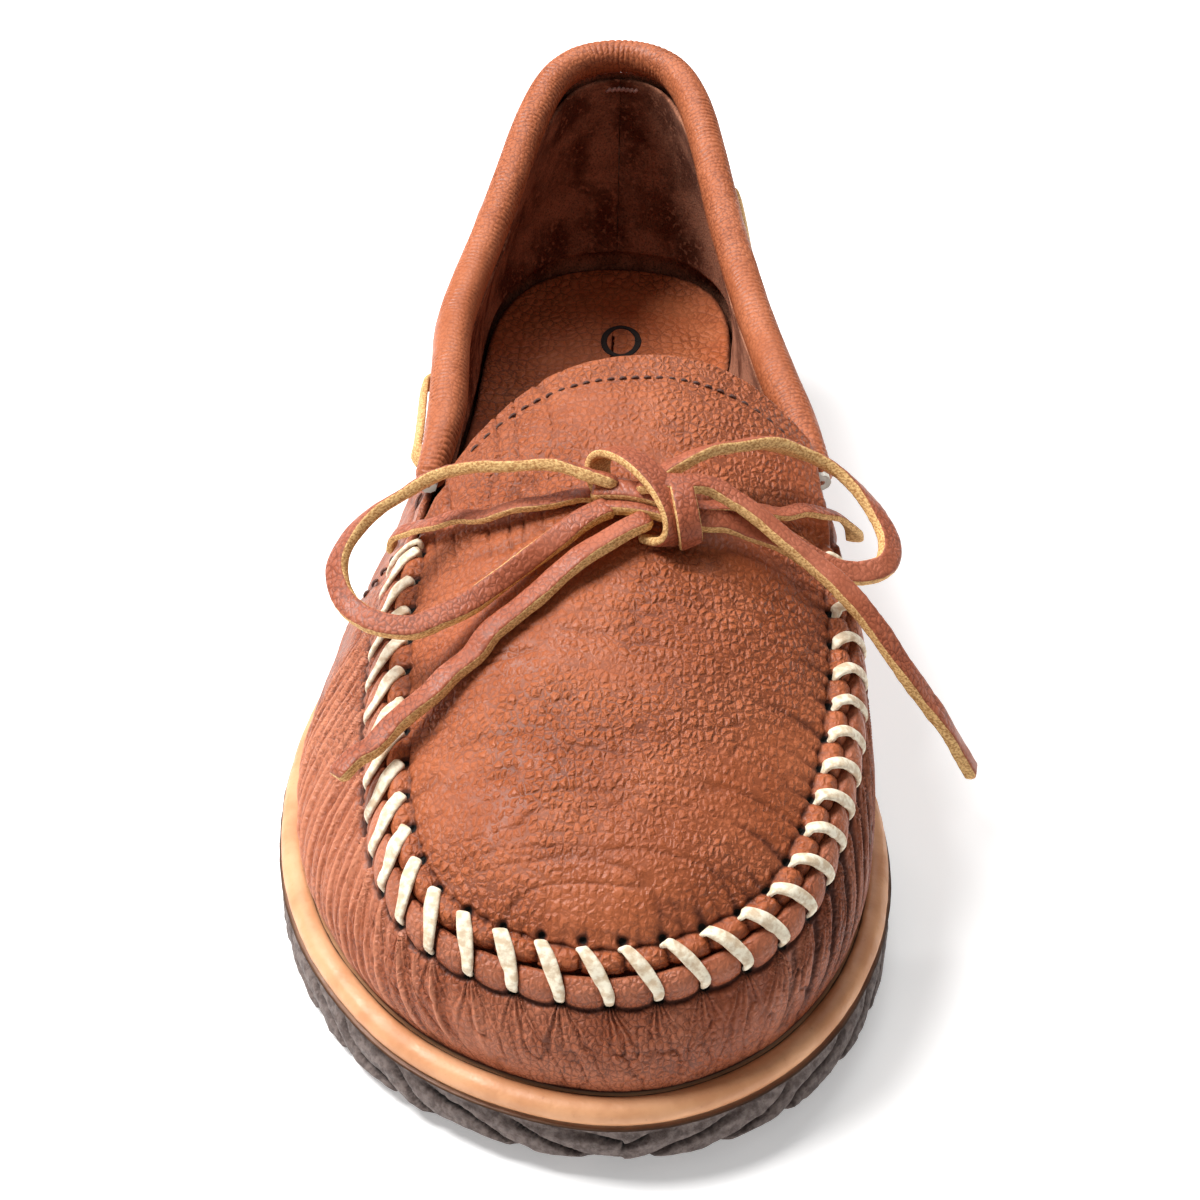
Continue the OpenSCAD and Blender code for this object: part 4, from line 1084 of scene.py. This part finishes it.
def whip(at, lean=LEAN, w=2.6, t=1.0, seed=0):
    """A flat stitch from its hole in the plug, over both edges, to its hole in the wall."""
    a, u, b = seam_place((at - lean) / WHIPS), seam_place(at / WHIPS), seam_place((at + lean) / WHIPS)
    c, e = seam_place((at - 0.8 * lean) / WHIPS), seam_place((at + 0.75 * lean) / WHIPS)
    wobble = 0.2 * lattice(seed, 1, 3)
    controls = [
        on_plug(a, WHIP_HOLE + 0.3, -1.2),
        on_plug(a, WHIP_HOLE - 0.3 + wobble, 0.5),
        on_plug(c, 0.2, 0.9),
        (on_plug(u, -0.4, 0.8) + wall(u, 0.99) + wall_normal(u, 0.99) * 1.0) / 2 + 0.25 * UP,
        wall(e, 0.96) + (1.1 + wobble) * wall_normal(e, 0.96),
        wall(b, 0.9) + 1.1 * wall_normal(b, 0.9),
        wall(b, 0.865) + 0.6 * wall_normal(b, 0.865),
        wall(b, HOLE_V) - 1.1 * wall_normal(b, 0.84),
    ]
    path = resample(controls, 0.5)
    x = np.linspace(0, 1, len(path))
    out_a, out_u = out_dir(a), out_dir(u)
    ups = through([out_a * -0.6 + UP, out_a * -0.2 + UP, out_a * 0.1 + UP, out_u * 0.4 + UP,
                   out_u * 1.2 + UP, out_u * 2.6 + UP, out_u * 3 + UP, out_u * 3 + UP], x)
    narrow = through([0.75, 0.9, 1.0, 1.05, 1.0, 0.9, 0.75, 0.55], x)[:, 0]
    wide = w * (1 + 0.08 * lattice(seed, 2, 3)) * narrow
    return band(path, unit(ups), wide, t, 14, 0.75)


for i in range(WHIPS):
    whips.append(whip(i + 0.5, seed=i))
# doubled strands at the two ends of the seam
for at, step in ((-0.15, -0.28), (WHIPS + 0.15, 0.28)):
    for k in range(2):
        whips.append(whip(at + k * step, 0.1, 1.4, 0.9, 40 + k))
build("whip_lacing", whips, [CREAM], "shoe", "whip_stitches")

# ---- the lace's runs along the sides ----
for side, name, node in ((1, "run_inner", "lace_run_medial"), (-1, "run_outer", "lace_run_lateral")):
    x = np.linspace(0, 1, 240)
    q = RUNS[side][0] + (RUNS[side][1] - RUNS[side][0]) * x
    path = wall_in(q, np.full(240, LACE_V), run_depth(q))
    wide = LACE_W * (1 + 0.05 * noise(x * 30, 0, side))
    part = band(path, wall_normal(q, np.full(240, LACE_V)), wide, 1.4, SIDES, 0.5)
    build(name, [part], [LACE_EDGE], "shoe", node)

# ---- what stays as the CAD part has it ----
for node, material in (("insole_board", plain("board", srgb(168, 138, 102), srgb(190, 162, 124), 6)),
                       ("heel_counter", plain("counter", srgb(176, 164, 140), srgb(198, 188, 166), 5)),
                       ("footbed_foam", plain("foam", srgb(206, 202, 190), srgb(224, 220, 210), 3)),
                       ("collar_foam", plain("roll_foam", srgb(206, 202, 190), srgb(224, 220, 210), 3))):
    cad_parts[node].data.materials.clear()
    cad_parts[node].data.materials.append(material)
